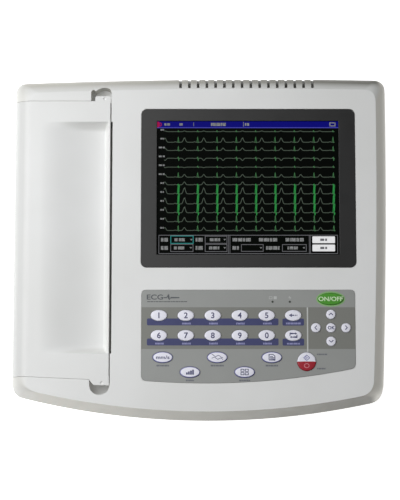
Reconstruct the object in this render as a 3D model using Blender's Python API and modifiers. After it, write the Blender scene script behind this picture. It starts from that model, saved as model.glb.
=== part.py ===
"""A twelve-lead ECG machine for a ward trolley: a wedge-shaped case with a colour display, a keypad and a
thermal printer whose paper bay is closed by a hinged cover.

Run with: blender --background --python part.py

Sizes are in millimetres and angles in radians; the helpers turn them into metres. Most pieces are modelled
in the deck's own frame: u runs right, v runs to the rear along the sloping deck, and w stands square to the
deck, with w = 0 on its surface. The empty "deck" carries that frame. Only the lower case and what is
fastened to it stand in the upright frame, where Z = 0 is the table.
"""

import math

import bmesh
import bpy
from mathutils import Matrix, Vector

MM = 0.001
GAP = 0.3  # air between neighbouring pieces

# The case
WIDTH = 350.0
DEPTH = 324.0
DECK_SLOPE = math.radians(4.0)
DECK_HEIGHT = 79.0  # of the deck's surface over the origin
LIP = 22.0  # the upper case's wall, from the deck to the parting line
TOP_WALL = 3.0
BOTTOM_WALL = 2.5
FOOT_HEIGHT = 4.0
# each bowed edge: the middle of its arc, and the arc's radius
FRONT_ARC = (7.0, 715.0)
REAR_ARC = (55.0, 5750.0)
RIGHT_ARC = (120.0, 6400.0)
CORNER = {"front_left": 10.0, "front_right": 11.0, "rear_right": 11.0, "rear_left": 10.0}
SHOULDER_RIGHT = 10.0  # how far the sloped shoulder reaches in over the deck
SHOULDER_REAR = 12.4
SHOULDER_LEFT = 15.0  # a plain round
FRONT_LEAN = 5.9  # how far the front face runs out on its way down
# the shoulder's profile: how much of its width is left, at each depth below the deck
SHOULDER_STEPS = ((0.0, LIP), (0.0, 13.5), (0.04, 10.4), (0.18, 7.2), (0.42, 4.2), (0.70, 1.9), (1.0, 0.0))

# Display and keypad: left, right, front and rear edges on the deck
BEZEL = (-55.6, 145.2, -23.0, 128.8)
BEZEL_RADIUS = 5.6
BEZEL_POCKET = 1.6
BEZEL_LEDGE = 2.5
SCREEN = (-41.0, 129.9, -10.7, 117.5)  # 170.9 x 128.2, an 8.4-inch panel
OVERLAY = (-54.8, 143.5, -131.7, -44.4)
OVERLAY_RADIUS = 4.7
OVERLAY_ARC = (5.0, 690.0)
OVERLAY_POCKET = 1.2
OVERLAY_LEDGE = 1.8

# Keys: half width and half height, then where they stand
NUMBER_KEY = (7.6, 5.1)
FUNCTION_KEY = (9.3, 5.15)
POWER_KEY = (11.9, 5.6)
ARROW_KEY = (4.4, 4.4)
START_KEY = (8.6, 8.6)
NUMBER_ROWS = (-68.4, -87.2)
NUMBER_LEFT = -38.6
NUMBER_PITCH = 25.0
EDIT_COLUMN = 86.1
FUNCTION_LEFT = -35.0
FUNCTION_PITCH = 25.25
FUNCTION_ROWS = (-107.7, -121.5)
ARROWS = (121.0, -80.0)
ARROW_REACH = (14.0, 12.6)
POWER_AT = (120.9, -52.9)
START_AT = (98.2, -111.7)
KEY_TOP = 1.4
KEY_FOOT = -3.0
KEY_COLLAR = 1.0
KEY_SEGMENTS = 14

# Paper cover and its seams
COVER_RIGHT = -84.6
COVER_REAR = 136.6
COVER_FRONT = -128.9  # at the cover's right edge
COVER_FRONT_SLANT = 0.045  # the front seam drifts rearward by this much per millimetre to the left
COVER_WALL = 2.0
COVER_GAP = 0.7  # beside the cover's right edge; the slit is wider
RECESS = (-104.0, 116.6)
RECESS_DEPTH = 8.0
# the recess's near side: distance in from the cover's right edge, and the share of the full depth
RECESS_LIP = ((0.9, 0.0), (2.2, 0.38), (3.6, 0.82), (6.0, 1.0))
RECESS_SCOOP = 59.4  # the far side rises over this width
FLANGE_DEPTH = 10.6
SLIT_RIGHT = -82.7
TAB_THICKNESS = 2.6
REAR_TAB = (-99.2, 141.4)  # its left and rear edges
FRONT_TAB = ((-103.4, -125.0), (-102.6, -129.0), (-98.9, -133.4))
FRONT_TAB_EDGE = -133.7
HINGE = (-171.8, -18.7)
HINGE_BEAD = 2.7
HINGE_PIN = 1.4

# Printer
PLATEN = (-91.5, -18.5)
PLATEN_RADIUS = 7.0
PLATEN_SPAN = (-100.7, 113.3)
SHAFT_RADIUS = 2.5
SHAFT_SPAN = (-110.0, 128.6)
BUSH_RADIUS = 4.2
EAR_REAR = (116.8, 118.8)
EAR_FRONT = (-106.2, -104.2)
FRAME_OUT = (-108.3, 120.9)
FRAME_SHEET = 1.5
FRAME_U = (-98.0, -55.0)
FRAME_W = (-57.0, -11.5)
MODULE = 1.0
PLATEN_TEETH = 14
IDLER_TEETH = 20
PINION_TEETH = 12
CENTRE_SLACK = 0.15
IDLER_BEARING = math.radians(-80.0)  # from the platen, in the plane of u and w
PINION_BEARING = math.radians(-10.0)  # from the idler
IDLER_POST = 2.0
GEAR_SPAN = (123.0, 127.0)
MOTOR_RADIUS = 15.0
MOTOR_SPAN = (99.0, 119.1)
ROLL = (-128.0, -32.0)
ROLL_RADIUS = 23.0
ROLL_SPAN = (-98.7, 111.3)
SPINDLE_RADIUS = 4.2
TRAY_SPAN = (-113.0, 121.0)
TRAY_TOP = -22.0

# Vents and finger notches
VENTS = 16
VENT_LEFT = -18.9
VENT_PITCH = 8.31
VENT_WIDTH = 2.5
VENT_RUN = (149.6, 167.0)
NOTCH_FLOOR = -14.0
NOTCH_BLOCK = (-16.5, -2.6)  # the solid around each notch
FRONT_SCOOP = ((-93.5, -133.2), 9.4)

# Lower case fittings: where each stands, then its width and height
HATCH = (-48.0, 52.0, 78.0, 142.0)
FEET = (138.0, -112.0, 125.0)
FOOT_RADIUS = 9.0
INLET_AT = (128.0, 37.0)
INLET_SIZE = (31.0, 25.0)
INLET_FACE = 158.0
SWITCH_AT = (96.0, 37.0)
SWITCH_SIZE = (13.0, 21.0)
SWITCH_PIVOT = 154.5
SWITCH_TILT = math.radians(7.0)
EARTH_AT = (64.0, 30.0)
EARTH_FACE = 157.3
LEAD_AT = (72.0, 34.0)
LEAD_SIZE = (40.0, 14.0)
LEAD_FACE = 169.5
DATA_AT = (41.5, 34.0)
DATA_SIZE = (20.0, 14.0)
DATA_FACE = 169.0

# Boards and packs inside: left, right, front, rear, low and high
MAIN_BOARD = (-42.0, 146.0, -112.0, 70.0, 22.0, 23.6)
POWER_SUPPLY = (60.0, 104.0, 76.0, 128.0, 9.0, 46.0)
BATTERY = (-42.0, 46.0, 84.0, 136.0, 8.0, 31.0)
KEYPAD_BOARD = (-52.0, 141.0, -129.0, -46.0, -9.6, -8.0)
PANEL_BODY = (-50.0, 139.0, -18.5, 124.5, -9.5, -4.0)
PANEL_FACE = (-48.0, 137.0, -16.5, 122.5, -6.0, -1.7)

SLOPE_COS = math.cos(DECK_SLOPE)
SLOPE_SIN = math.sin(DECK_SLOPE)
REAR_EDGE = (DEPTH / 2 - LIP * SLOPE_SIN) / SLOPE_COS
FRONT_EDGE = -(DEPTH / 2 + LIP * SLOPE_SIN) / SLOPE_COS

SHELL_WHITE = (0.80, 0.81, 0.80)
LOWER_GREY = (0.62, 0.62, 0.60)
DARK_GREY = (0.045, 0.045, 0.045)
OVERLAY_GREY = (0.27, 0.28, 0.27)
KEY_WHITE = (0.82, 0.82, 0.90)
STEEL = (0.55, 0.56, 0.58)
BOARD_GREEN = (0.02, 0.14, 0.06)
BLACK = (0.02, 0.02, 0.02)
BRASS = (0.7, 0.5, 0.2)
BATTERY_BLUE = (0.03, 0.07, 0.25)
POWER_GREEN = (0.08, 0.32, 0.03)
STOP_RED = (0.45, 0.06, 0.08)


def clear_scene():
    for ob in list(bpy.data.objects):
        bpy.data.objects.remove(ob)


def collection(name):
    made = bpy.data.collections.new(name)
    bpy.context.scene.collection.children.link(made)
    return made


clear_scene()
PARTS = collection("ecg_machine")
CUTTERS = collection("cutters")
DECK = bpy.data.objects.new("deck", None)
DECK.location = (0.0, 0.0, DECK_HEIGHT * MM)
DECK.rotation_euler = (DECK_SLOPE, 0.0, 0.0)
PARTS.objects.link(DECK)


def material(name, colour, roughness, metallic=0.0):
    mat = bpy.data.materials.get(name)
    if mat is None:
        mat = bpy.data.materials.new(name)
        mat.use_nodes = True
        shader = mat.node_tree.nodes["Principled BSDF"]
        shader.inputs["Base Color"].default_value = (*colour, 1.0)
        shader.inputs["Roughness"].default_value = roughness
        shader.inputs["Metallic"].default_value = metallic
    return mat


# ---- meshes, in millimetres until they are made into objects ----


def box(low, high):
    bm = bmesh.new()
    size = [h - l for l, h in zip(low, high)]
    middle = [(l + h) / 2 for l, h in zip(low, high)]
    bmesh.ops.create_cube(bm, size=1.0, matrix=Matrix.Translation(middle) @ Matrix.Diagonal((*size, 1.0)))
    return bm


def prism(outline, low, high):
    """A flat outline in the XY plane, carried up from low to high."""
    bm = bmesh.new()
    face = bm.faces.new([bm.verts.new((x, y, low)) for x, y in outline])
    raised = bmesh.ops.extrude_face_region(bm, geom=[face])["geom"]
    verts = [item for item in raised if isinstance(item, bmesh.types.BMVert)]
    bmesh.ops.translate(bm, verts=verts, vec=(0.0, 0.0, high - low))
    bmesh.ops.recalc_face_normals(bm, faces=bm.faces)
    return bm


def slab(limits, radius=0.0):
    """A flat block between its limits, with rounded corners if a radius is given."""
    left, right, front, rear, low, high = limits
    if radius:
        return prism(rounded_rectangle(left, right, front, rear, radius, 2), low, high)
    return box((left, front, low), (right, rear, high))


def side_prism(outline, front, rear):
    """A flat outline in the plane of u and w, carried along v."""
    bm = prism(outline, -rear, -front)
    bm.transform(Matrix.Rotation(math.pi / 2, 4, "X"))
    return bm


def end_prism(outline, left, right):
    """A flat outline in the plane of v and w, carried along u."""
    bm = prism(outline, left, right)
    bm.transform(Matrix(((0, 0, 1, 0), (1, 0, 0, 0), (0, 1, 0, 0), (0, 0, 0, 1))))
    return bm


def rod(centre, front, rear, radius, segments=20):
    """A round bar along v, centred on a point of the plane of u and w."""
    outline = [
        (centre[0] + radius * math.cos(a), centre[1] + radius * math.sin(a)) for a in angles(segments)
    ]
    return side_prism(outline, front, rear)


def loft(rings):
    """A closed solid through rings that all have the same number of points."""
    bm = bmesh.new()
    rows = [[bm.verts.new(point) for point in ring] for ring in rings]
    for lower, upper in zip(rows, rows[1:]):
        for i in range(len(lower)):
            j = (i + 1) % len(lower)
            bm.faces.new((lower[i], lower[j], upper[j], upper[i]))
    bmesh.ops.triangulate(bm, faces=bm.faces)
    bm.faces.new(list(reversed(rows[0])))
    bm.faces.new(rows[-1])
    bmesh.ops.recalc_face_normals(bm, faces=bm.faces)
    return bm


def merged(*meshes):
    """Several meshes in one, left as they are."""
    whole = bmesh.new()
    for bm in meshes:
        mesh = bpy.data.meshes.new("part")
        bm.to_mesh(mesh)
        bm.free()
        whole.from_mesh(mesh)
        bpy.data.meshes.remove(mesh)
    return whole


def angles(count, start=0.0, span=2 * math.pi):
    return [start + span * i / count for i in range(count)]


def arc(centre, radius, start, end, steps):
    """Points on a round from one angle to another, both ends included."""
    points = []
    for i in range(steps + 1):
        a = start + (end - start) * i / steps
        points.append((centre[0] + radius * math.cos(a), centre[1] + radius * math.sin(a)))
    return points


def ellipse(centre, half_width, half_height, segments):
    u, v = centre
    return [(u + half_width * math.cos(a), v + half_height * math.sin(a)) for a in angles(segments)]


def rounded_rectangle(left, right, front, rear, radius, steps=4):
    quarter = math.pi / 2
    corners = (
        ((right - radius, front + radius), -quarter),
        ((right - radius, rear - radius), 0.0),
        ((left + radius, rear - radius), quarter),
        ((left + radius, front + radius), 2 * quarter),
    )
    outline = []
    for centre, start in corners:
        outline += arc(centre, radius, start, start + quarter, steps)
    return outline


def shares(steps):
    return [i / steps for i in range(steps + 1)]


def bend(start, middle, end, steps=5):
    """A rounded corner: a curve from start to end that leans towards the middle point."""
    start, middle, end = Vector(start), Vector(middle), Vector(end)
    return [tuple(start.lerp(middle, t).lerp(middle.lerp(end, t), t)) for t in shares(steps)]


def arc_drop(x, bow):
    """How far a bowed edge has fallen back, at a distance along it."""
    middle, radius = bow
    return radius - math.sqrt(radius**2 - (x - middle) ** 2)


# ---- objects ----


def add(name, bm, mat, parent=DECK, origin=(0.0, 0.0, 0.0), smooth=30.0):
    """Makes a named sub-part, its origin on its joint's axis where it moves."""
    bm.transform(Matrix.Translation([-value for value in origin]))
    bm.transform(Matrix.Scale(MM, 4))
    mesh = bpy.data.meshes.new(name)
    bm.to_mesh(mesh)
    bm.free()
    mesh.materials.append(mat)
    mesh.shade_smooth()
    mesh.set_sharp_from_angle(angle=math.radians(smooth))
    ob = bpy.data.objects.new(name, mesh)
    ob.location = [value * MM for value in origin]
    ob.parent = parent
    PARTS.objects.link(ob)
    return ob


def tool(name, bm, parent=DECK):
    """Makes a guide that only shapes another piece."""
    bm.transform(Matrix.Scale(MM, 4))
    mesh = bpy.data.meshes.new(name)
    bm.to_mesh(mesh)
    bm.free()
    ob = bpy.data.objects.new(name, mesh)
    ob.parent = parent
    ob.hide_render = True
    ob.display_type = "WIRE"
    CUTTERS.objects.link(ob)
    return ob


def shape(ob, operation, bm):
    """Joins a mesh to a piece, or cuts it away, with a Boolean that stays editable."""
    step = ob.modifiers.new(operation.lower(), "BOOLEAN")
    step.operation = operation
    step.solver = "EXACT"
    step.object = tool(f"{ob.name}_{len(ob.modifiers)}", bm, ob.parent)


def cut(ob, bm):
    shape(ob, "DIFFERENCE", bm)


def fuse(ob, bm):
    shape(ob, "UNION", bm)


def turned(name, profile, mat, centre, parent=DECK, turn=(-math.pi / 2, 0.0, 0.0), steps=24):
    """A turned piece: its profile lists radius and height, down the outer side from the top."""
    mesh = bpy.data.meshes.new(name)
    verts = [(radius * MM, 0.0, height * MM) for radius, height in profile]
    edges = [(i, i + 1) for i in range(len(verts) - 1)]
    if profile[0][0] > 0.0:
        edges.append((len(verts) - 1, 0))
    mesh.from_pydata(verts, edges, [])
    mesh.materials.append(mat)
    ob = bpy.data.objects.new(name, mesh)
    ob.location = [value * MM for value in centre]
    ob.rotation_euler = turn
    ob.parent = parent
    screw = ob.modifiers.new("turn", "SCREW")
    screw.steps = steps
    screw.render_steps = steps
    screw.use_merge_vertices = True
    screw.merge_threshold = 0.00001
    screw.use_smooth_shade = False
    PARTS.objects.link(ob)
    return ob


# ---- the upper case ----


def case_outline(left_in, right_in, rear_in, front_in, steps=(20, 8), rear_edge=None, front_edge=None):
    """The case's outline, drawn in from each side by an amount; all but the left side bow outward."""
    left = -WIDTH / 2 + left_in
    rear_at = (REAR_EDGE if rear_edge is None else rear_edge) - rear_in
    front_at = (FRONT_EDGE if front_edge is None else front_edge) + front_in

    def rear(x):
        return (x, rear_at - arc_drop(x, REAR_ARC))

    def front(x):
        return (x, front_at + arc_drop(x, FRONT_ARC))

    def right(y):
        return (WIDTH / 2 - right_in - arc_drop(y, RIGHT_ARC), y)

    front_right = front(right(front_at)[0])
    rear_right = rear(right(rear_at)[0])
    front_run = (left + CORNER["front_left"], front_right[0] - CORNER["front_right"])
    rear_run = (rear_right[0] - CORNER["rear_right"], left + CORNER["rear_left"])
    side_run = (front_right[1] + CORNER["front_right"], rear_right[1] - CORNER["rear_right"])
    points = []
    for i in range(steps[0] + 1):
        points.append(front(front_run[0] + (front_run[1] - front_run[0]) * i / steps[0]))
    points += bend(points[-1], front_right, right(side_run[0]))[1:]
    for i in range(1, steps[1]):
        points.append(right(side_run[0] + (side_run[1] - side_run[0]) * i / steps[1]))
    points += bend(right(side_run[1]), rear_right, rear(rear_run[0]))
    for i in range(1, steps[1] + 1):
        points.append(rear(rear_run[0] + (rear_run[1] - rear_run[0]) * i / steps[1]))
    corner = rear(left)
    points += bend(points[-1], corner, (left, corner[1] - CORNER["rear_left"]))[1:]
    corner = front(left)
    points += bend((left, corner[1] + CORNER["front_left"]), corner, points[0])[:-1]
    return points


def left_shoulder(depth):
    """How far the round left shoulder has drawn in, at a depth below the deck."""
    if depth >= SHOULDER_LEFT:
        return 0.0
    return SHOULDER_LEFT - math.sqrt(SHOULDER_LEFT**2 - (SHOULDER_LEFT - depth) ** 2)


def top_body(wall):
    """The upper case's outer form, or with a wall thickness the hollow inside it."""
    rings = []
    for share, depth in SHOULDER_STEPS:
        side = wall * (1 - 0.6 * share)
        low = -depth - wall * share - (wall if depth == LIP else 0.0)
        outline = case_outline(
            left_shoulder(depth) + side,
            SHOULDER_RIGHT * share + side,
            SHOULDER_REAR * share + side,
            FRONT_LEAN * (1 - depth / LIP) + side,
        )
        rings.append([(x, y, low) for x, y in outline])
    return loft(rings)


def front_seam(u):
    return COVER_FRONT - COVER_FRONT_SLANT * (u - COVER_RIGHT)


def cover_opening():
    """Everything left of the cover's right edge, between its two seams."""
    outside = -WIDTH / 2 - 5.0
    edge = COVER_RIGHT + COVER_GAP
    return prism(
        [
            (outside, front_seam(outside) - GAP),
            (edge, front_seam(edge) - GAP),
            (edge, COVER_REAR + GAP),
            (outside, COVER_REAR + GAP),
        ],
        -LIP - 1.0,
        1.0,
    )


def rear_notch(edge):
    """The rear finger notch: a narrow slot beside the cover's tab, then an arch behind it."""
    arch = bend((-98.7, 146.1), (-94.8, 150.0), (-90.6, 150.0))
    arch += bend(arch[-1], (edge - 0.4, 150.0), (edge, 144.8))[1:]
    side_slot = bend((-103.2, 145.4), (-101.4, 149.4), (-99.4, 146.6), 4)
    return [(edge, COVER_REAR - 0.6), *reversed(arch), *reversed(side_slot), (-103.2, COVER_REAR - 0.6)]


def front_notch(edge):
    """The front finger notch: a half-round bite around the cover's front tab."""
    sides = front_seam(edge) + 1.0
    centre, radius = FRONT_SCOOP
    scoop = arc(centre, radius, math.pi, 2 * math.pi, 10)
    return [(centre[0] - radius, sides), *scoop, (edge, centre[1]), (edge, sides)]


def overlay_outline(inset):
    """The keypad overlay: square-cornered at the top, bowed along the front like the case."""
    left, right, front, rear = OVERLAY
    left, right, front, rear = left + inset, right - inset, front + inset, rear - inset

    def edge(x):
        return (x, front + arc_drop(x, OVERLAY_ARC))

    radius = OVERLAY_RADIUS
    points = [edge(left + radius + (right - left - 2 * radius) * i / 14) for i in range(15)]
    corner = edge(right)
    points += bend(points[-1], corner, (right, corner[1] + radius), 3)[1:]
    points += bend((right, rear - radius), (right, rear), (right - radius, rear), 3)
    points += bend((left + radius, rear), (left, rear), (left, rear - radius), 3)
    corner = edge(left)
    points += bend((left, corner[1] + radius), corner, points[0], 3)[:-1]
    return points


def vent_cutters():
    slots = []
    for i in range(VENTS):
        u = VENT_LEFT + VENT_PITCH * i
        slots.append(box((u - VENT_WIDTH / 2, VENT_RUN[0], -16.0), (u + VENT_WIDTH / 2, VENT_RUN[1], 2.0)))
    return merged(*slots)


def grown(rectangle, by):
    left, right, front, rear = rectangle
    return (left - by, right + by, front - by, rear + by)


def make_top_case():
    ob = add("top_case", top_body(0.0), material("shell_white", SHELL_WHITE, 0.45))
    cut(ob, top_body(TOP_WALL))
    # closed pockets under the two finger notches, and bosses that hold the hinge pins
    low, high = NOTCH_BLOCK
    boss = (HINGE[0] - 2.2, HINGE[0] + 4.8)
    blocks = (
        box((-107.0, COVER_REAR - 1.0, low), (-80.0, 150.9, high)),
        box((-107.0, -146.2, low), (-80.0, COVER_FRONT + 1.5, high)),
        box((boss[0], COVER_REAR - 1.0, 0.2 - LIP), (boss[1], 144.5, HINGE[1] + 5.2)),
        box((boss[0], -132.4, 0.2 - LIP), (boss[1], COVER_FRONT + 6.0, HINGE[1] + 5.2)),
    )
    fuse(ob, merged(*blocks))
    cut(ob, cover_opening())
    cut(ob, prism(rear_notch(COVER_RIGHT + COVER_GAP), NOTCH_FLOOR, 2.0))
    cut(ob, prism(front_notch(COVER_RIGHT + COVER_GAP), NOTCH_FLOOR, 2.0))
    cut(ob, rod(HINGE, COVER_REAR - 5.0, COVER_REAR + 6.5, HINGE_PIN + GAP, 16))
    cut(ob, rod(HINGE, COVER_FRONT - 2.0, COVER_FRONT + 9.0, HINGE_PIN + GAP, 16))
    cut(ob, box((COVER_RIGHT - 1.0, RECESS[0], -LIP), (SLIT_RIGHT, RECESS[1], 2.0)))
    cut(ob, prism(rounded_rectangle(*grown(BEZEL, GAP), BEZEL_RADIUS), -BEZEL_POCKET, 2.0))
    cut(ob, prism(rounded_rectangle(*grown(BEZEL, -BEZEL_LEDGE), 3.0), -5.0, 2.0))
    cut(ob, prism(overlay_outline(-GAP), -OVERLAY_POCKET, 2.0))
    cut(ob, prism(overlay_outline(OVERLAY_LEDGE), -5.0, 2.0))
    cut(ob, vent_cutters())
    return ob


# ---- the lower case and what is fastened to it ----


def parting_height(y):
    """The lower case's rim, which follows the sloping parting line."""
    depth = LIP + GAP
    return DECK_HEIGHT - depth * SLOPE_COS + (y - depth * SLOPE_SIN) * math.tan(DECK_SLOPE)


def bottom_body(wall):
    """The lower case's outer form, or with a wall thickness the hollow inside it."""
    steps = (
        # side, rear and front draw-in, and the height over the table, or under the rim where negative
        (13.0, 12.0, 27.0, FOOT_HEIGHT),
        (10.5, 9.0, 21.5, FOOT_HEIGHT + 1.6),
        (8.6, 7.0, 18.0, FOOT_HEIGHT + 5.0),
        (5.0, 5.0, 6.0, -4.0),
        (2.0, 2.0, 2.0, 0.0),
    )
    rings = []
    for side, rear, front, height in steps:
        ends = {"rear_edge": DEPTH / 2, "front_edge": -DEPTH / 2}
        outline = case_outline(side + wall, side + wall, rear + wall, front + wall, **ends)
        if height > 0.0:
            rings.append([(x, y, height + wall) for x, y in outline])
        else:
            above = wall if height == 0.0 else 0.0
            rings.append([(x, y, parting_height(y) + height + above) for x, y in outline])
    return loft(rings)


def rear_hole(at, size, clearance=GAP):
    half = [value / 2 + clearance for value in size]
    return box((at[0] - half[0], 140.0, at[1] - half[1]), (at[0] + half[0], 167.0, at[1] + half[1]))


def side_hole(at, size):
    half = [value / 2 + GAP for value in size]
    return box((155.0, at[0] - half[0], at[1] - half[1]), (175.0, at[0] + half[0], at[1] + half[1]))


def make_bottom_case():
    ob = add("bottom_case", bottom_body(0.0), material("lower_grey", LOWER_GREY, 0.5), parent=None)
    cut(ob, bottom_body(BOTTOM_WALL))
    cut(ob, prism(rounded_rectangle(*grown(HATCH, GAP), 4.0), FOOT_HEIGHT - 2.0, FOOT_HEIGHT + 4.0))
    cut(ob, rear_hole(INLET_AT, INLET_SIZE))
    cut(ob, rear_hole(SWITCH_AT, SWITCH_SIZE, 0.8))
    cut(ob, side_hole(LEAD_AT, LEAD_SIZE))
    cut(ob, side_hole(DATA_AT, DATA_SIZE))
    cut(ob, rod(EARTH_AT, 140.0, 167.0, 3.0 + GAP, 16))
    return ob


def make_feet():
    foot = material("foot_rubber", BLACK, 0.8)
    top = FOOT_HEIGHT - GAP
    profile = [(0.0, top), (FOOT_RADIUS, top), (FOOT_RADIUS - 0.8, 0.0), (0.0, 0.0)]
    for side, x in (("left", -FEET[0]), ("right", FEET[0])):
        for end, y in (("front", FEET[1]), ("rear", FEET[2])):
            turned(f"foot_{end}_{side}", profile, foot, (x, y, 0.0), None, (0.0, 0.0, 0.0), 20)


def make_hatch():
    add(
        "battery_hatch",
        prism(rounded_rectangle(*HATCH, 4.0, 3), FOOT_HEIGHT, FOOT_HEIGHT + BOTTOM_WALL),
        material("lower_grey", LOWER_GREY, 0.5),
        parent=None,
    )


def make_rear_fittings():
    x, z = INLET_AT
    inlet = add(
        "mains_inlet",
        box((x - 15.5, INLET_FACE - 25.5, z - 12.5), (x + 15.5, INLET_FACE, z + 12.5)),
        material("inlet_black", BLACK, 0.4),
        parent=None,
    )
    socket = [(-11.5, -8.0), (11.5, -8.0), (11.5, 4.0), (7.5, 8.0), (-7.5, 8.0), (-11.5, 4.0)]
    floor = INLET_FACE - 16.5
    cut(inlet, side_prism([(x + a, z + b) for a, b in socket], floor, INLET_FACE + 4.0))
    for a, b in ((-6.5, -2.0), (0.0, 2.5), (6.5, -2.0)):
        pin = ((x + a - 1.0, floor - 2.0, z + b - 2.0), (x + a + 1.0, floor + 10.0, z + b + 2.0))
        fuse(inlet, box(*pin))
    x, z = SWITCH_AT
    half = SWITCH_SIZE[1] / 2
    rocker = [(-6.0, 2.5 - half), (1.5, -half), (4.2, -half), (1.8, 0.0)]
    rocker += [(4.2, half), (1.5, half), (-6.0, half - 2.5)]
    switch = add(
        "mains_switch",
        end_prism(rocker, -SWITCH_SIZE[0] / 2, SWITCH_SIZE[0] / 2),
        material("inlet_black", BLACK, 0.4),
        parent=None,
    )
    switch.location = (x * MM, SWITCH_PIVOT * MM, z * MM)
    switch.rotation_euler = (SWITCH_TILT, 0.0, 0.0)
    post = [(0.0, 4.2), (2.2, 4.2), (2.2, 1.0), (4.6, 1.0)]
    post += [(4.6, -0.3), (3.0, -0.3), (3.0, -9.0), (0.0, -9.0)]
    brass = material("brass", BRASS, 0.3, 1.0)
    turned("earth_terminal", post, brass, (EARTH_AT[0], EARTH_FACE, EARTH_AT[1]), None)


def make_side_fittings():
    y, z = LEAD_AT
    lead = add(
        "patient_connector",
        box((LEAD_FACE - 17.5, y - 20.0, z - 7.0), (LEAD_FACE, y + 20.0, z + 7.0)),
        material("connector_black", BLACK, 0.4),
        parent=None,
    )
    shell = [(-12.5, -4.0), (12.5, -4.0), (13.6, 4.0), (-13.6, 4.0)]
    cut(lead, end_prism([(y + a, z + b) for a, b in shell], LEAD_FACE - 6.5, LEAD_FACE + 2.0))
    y, z = DATA_AT
    data = add(
        "data_port",
        box((DATA_FACE - 15.0, y - 10.0, z - 7.0), (DATA_FACE, y + 10.0, z + 7.0)),
        material("steel", STEEL, 0.35, 1.0),
        parent=None,
    )
    cut(data, box((DATA_FACE - 11.0, y - 7.5, z - 4.5), (DATA_FACE + 2.0, y + 7.5, z + 4.5)))


def make_inner_boards():
    board = material("board_green", BOARD_GREEN, 0.5)
    steel = material("steel", STEEL, 0.4, 1.0)
    add("main_board", slab(MAIN_BOARD, 4.0), board, parent=None)
    add("power_supply", slab(POWER_SUPPLY, 1.0), steel, parent=None)
    battery = add("battery_pack", slab(BATTERY), material("battery_blue", BATTERY_BLUE, 0.5), parent=None)
    edge = battery.modifiers.new("edge", "BEVEL")
    edge.width = 3.0 * MM
    edge.segments = 2
    add("keypad_board", slab(KEYPAD_BOARD, 4.0), board)


# ---- display and keypad ----


def make_display():
    bezel = add(
        "display_bezel",
        prism(rounded_rectangle(*BEZEL, BEZEL_RADIUS, 5), -BEZEL_POCKET + GAP, 0.0),
        material("bezel_grey", DARK_GREY, 0.5),
    )
    cut(bezel, prism(rounded_rectangle(*SCREEN, 0.6, 2), -4.0, 2.0))
    panel = add("lcd_panel", slab(PANEL_BODY), material("lcd_black", BLACK, 0.2))
    fuse(panel, slab(PANEL_FACE))


def key_mesh(centre, half, segments=KEY_SEGMENTS):
    collar = (half[0] + KEY_COLLAR, half[1] + KEY_COLLAR)
    crown = (half[0] - 0.7, half[1] - 0.7)
    levels = (
        (collar, KEY_FOOT),
        (collar, KEY_FOOT + KEY_COLLAR),
        (half, KEY_FOOT + KEY_COLLAR),
        (half, KEY_TOP - 0.5),
        (crown, KEY_TOP),
    )
    return loft([[(x, y, w) for x, y in ellipse(centre, *size, segments)] for size, w in levels])


def key_list():
    """Each key's name, centre and half sizes."""
    keys = []
    for i in range(10):
        row, column = divmod(i, 5)
        centre = (NUMBER_LEFT + NUMBER_PITCH * column, NUMBER_ROWS[row])
        keys.append((f"key_number_{(i + 1) % 10}", centre, NUMBER_KEY))
    for name, row in zip(("backspace", "shift"), NUMBER_ROWS):
        keys.append((f"key_{name}", (EDIT_COLUMN, row), NUMBER_KEY))
    for i, name in enumerate(("speed", "gain", "filter", "layout", "report")):
        centre = (FUNCTION_LEFT + FUNCTION_PITCH * i, FUNCTION_ROWS[i % 2])
        keys.append((f"key_{name}", centre, FUNCTION_KEY))
    for name, x, y in (("up", 0, 1), ("down", 0, -1), ("left", -1, 0), ("right", 1, 0), ("confirm", 0, 0)):
        centre = (ARROWS[0] + ARROW_REACH[0] * x, ARROWS[1] + ARROW_REACH[1] * y)
        keys.append((f"key_{name}", centre, ARROW_KEY))
    keys.append(("key_power", POWER_AT, POWER_KEY))
    keys.append(("key_start_stop", START_AT, START_KEY))
    return keys


def make_keypad():
    keys = key_list()
    overlay = add(
        "keypad_overlay",
        prism(overlay_outline(0.0), -OVERLAY_POCKET + GAP, 0.2),
        material("overlay_grey", OVERLAY_GREY, 0.5),
    )
    holes = []
    for _, centre, half in keys:
        holes.append(prism(ellipse(centre, half[0] + GAP, half[1] + GAP, KEY_SEGMENTS), -4.0, 2.0))
    cut(overlay, merged(*holes))
    colours = {"key_power": POWER_GREEN, "key_start_stop": STOP_RED}
    for name, centre, half in keys:
        slot = f"{name}_colour" if name in colours else "key_white"
        mat = material(slot, colours.get(name, KEY_WHITE), 0.45)
        add(name, key_mesh(centre, half), mat, origin=(*centre, 0.0))


# ---- the paper cover ----


def recess_profile():
    """The cover's outer section from its lip to the round left shoulder: u, and the share of the full
    recess depth at u."""
    profile = [(COVER_RIGHT - reach, share) for reach, share in RECESS_LIP]
    start = profile[-1][0]
    for i in range(1, 8):
        rise = 0.5 + 0.5 * math.cos(math.pi * i / 7)
        profile.append((start - RECESS_SCOOP * i / 7, rise**0.9 if i < 7 else 0.0))
    return profile


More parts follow.
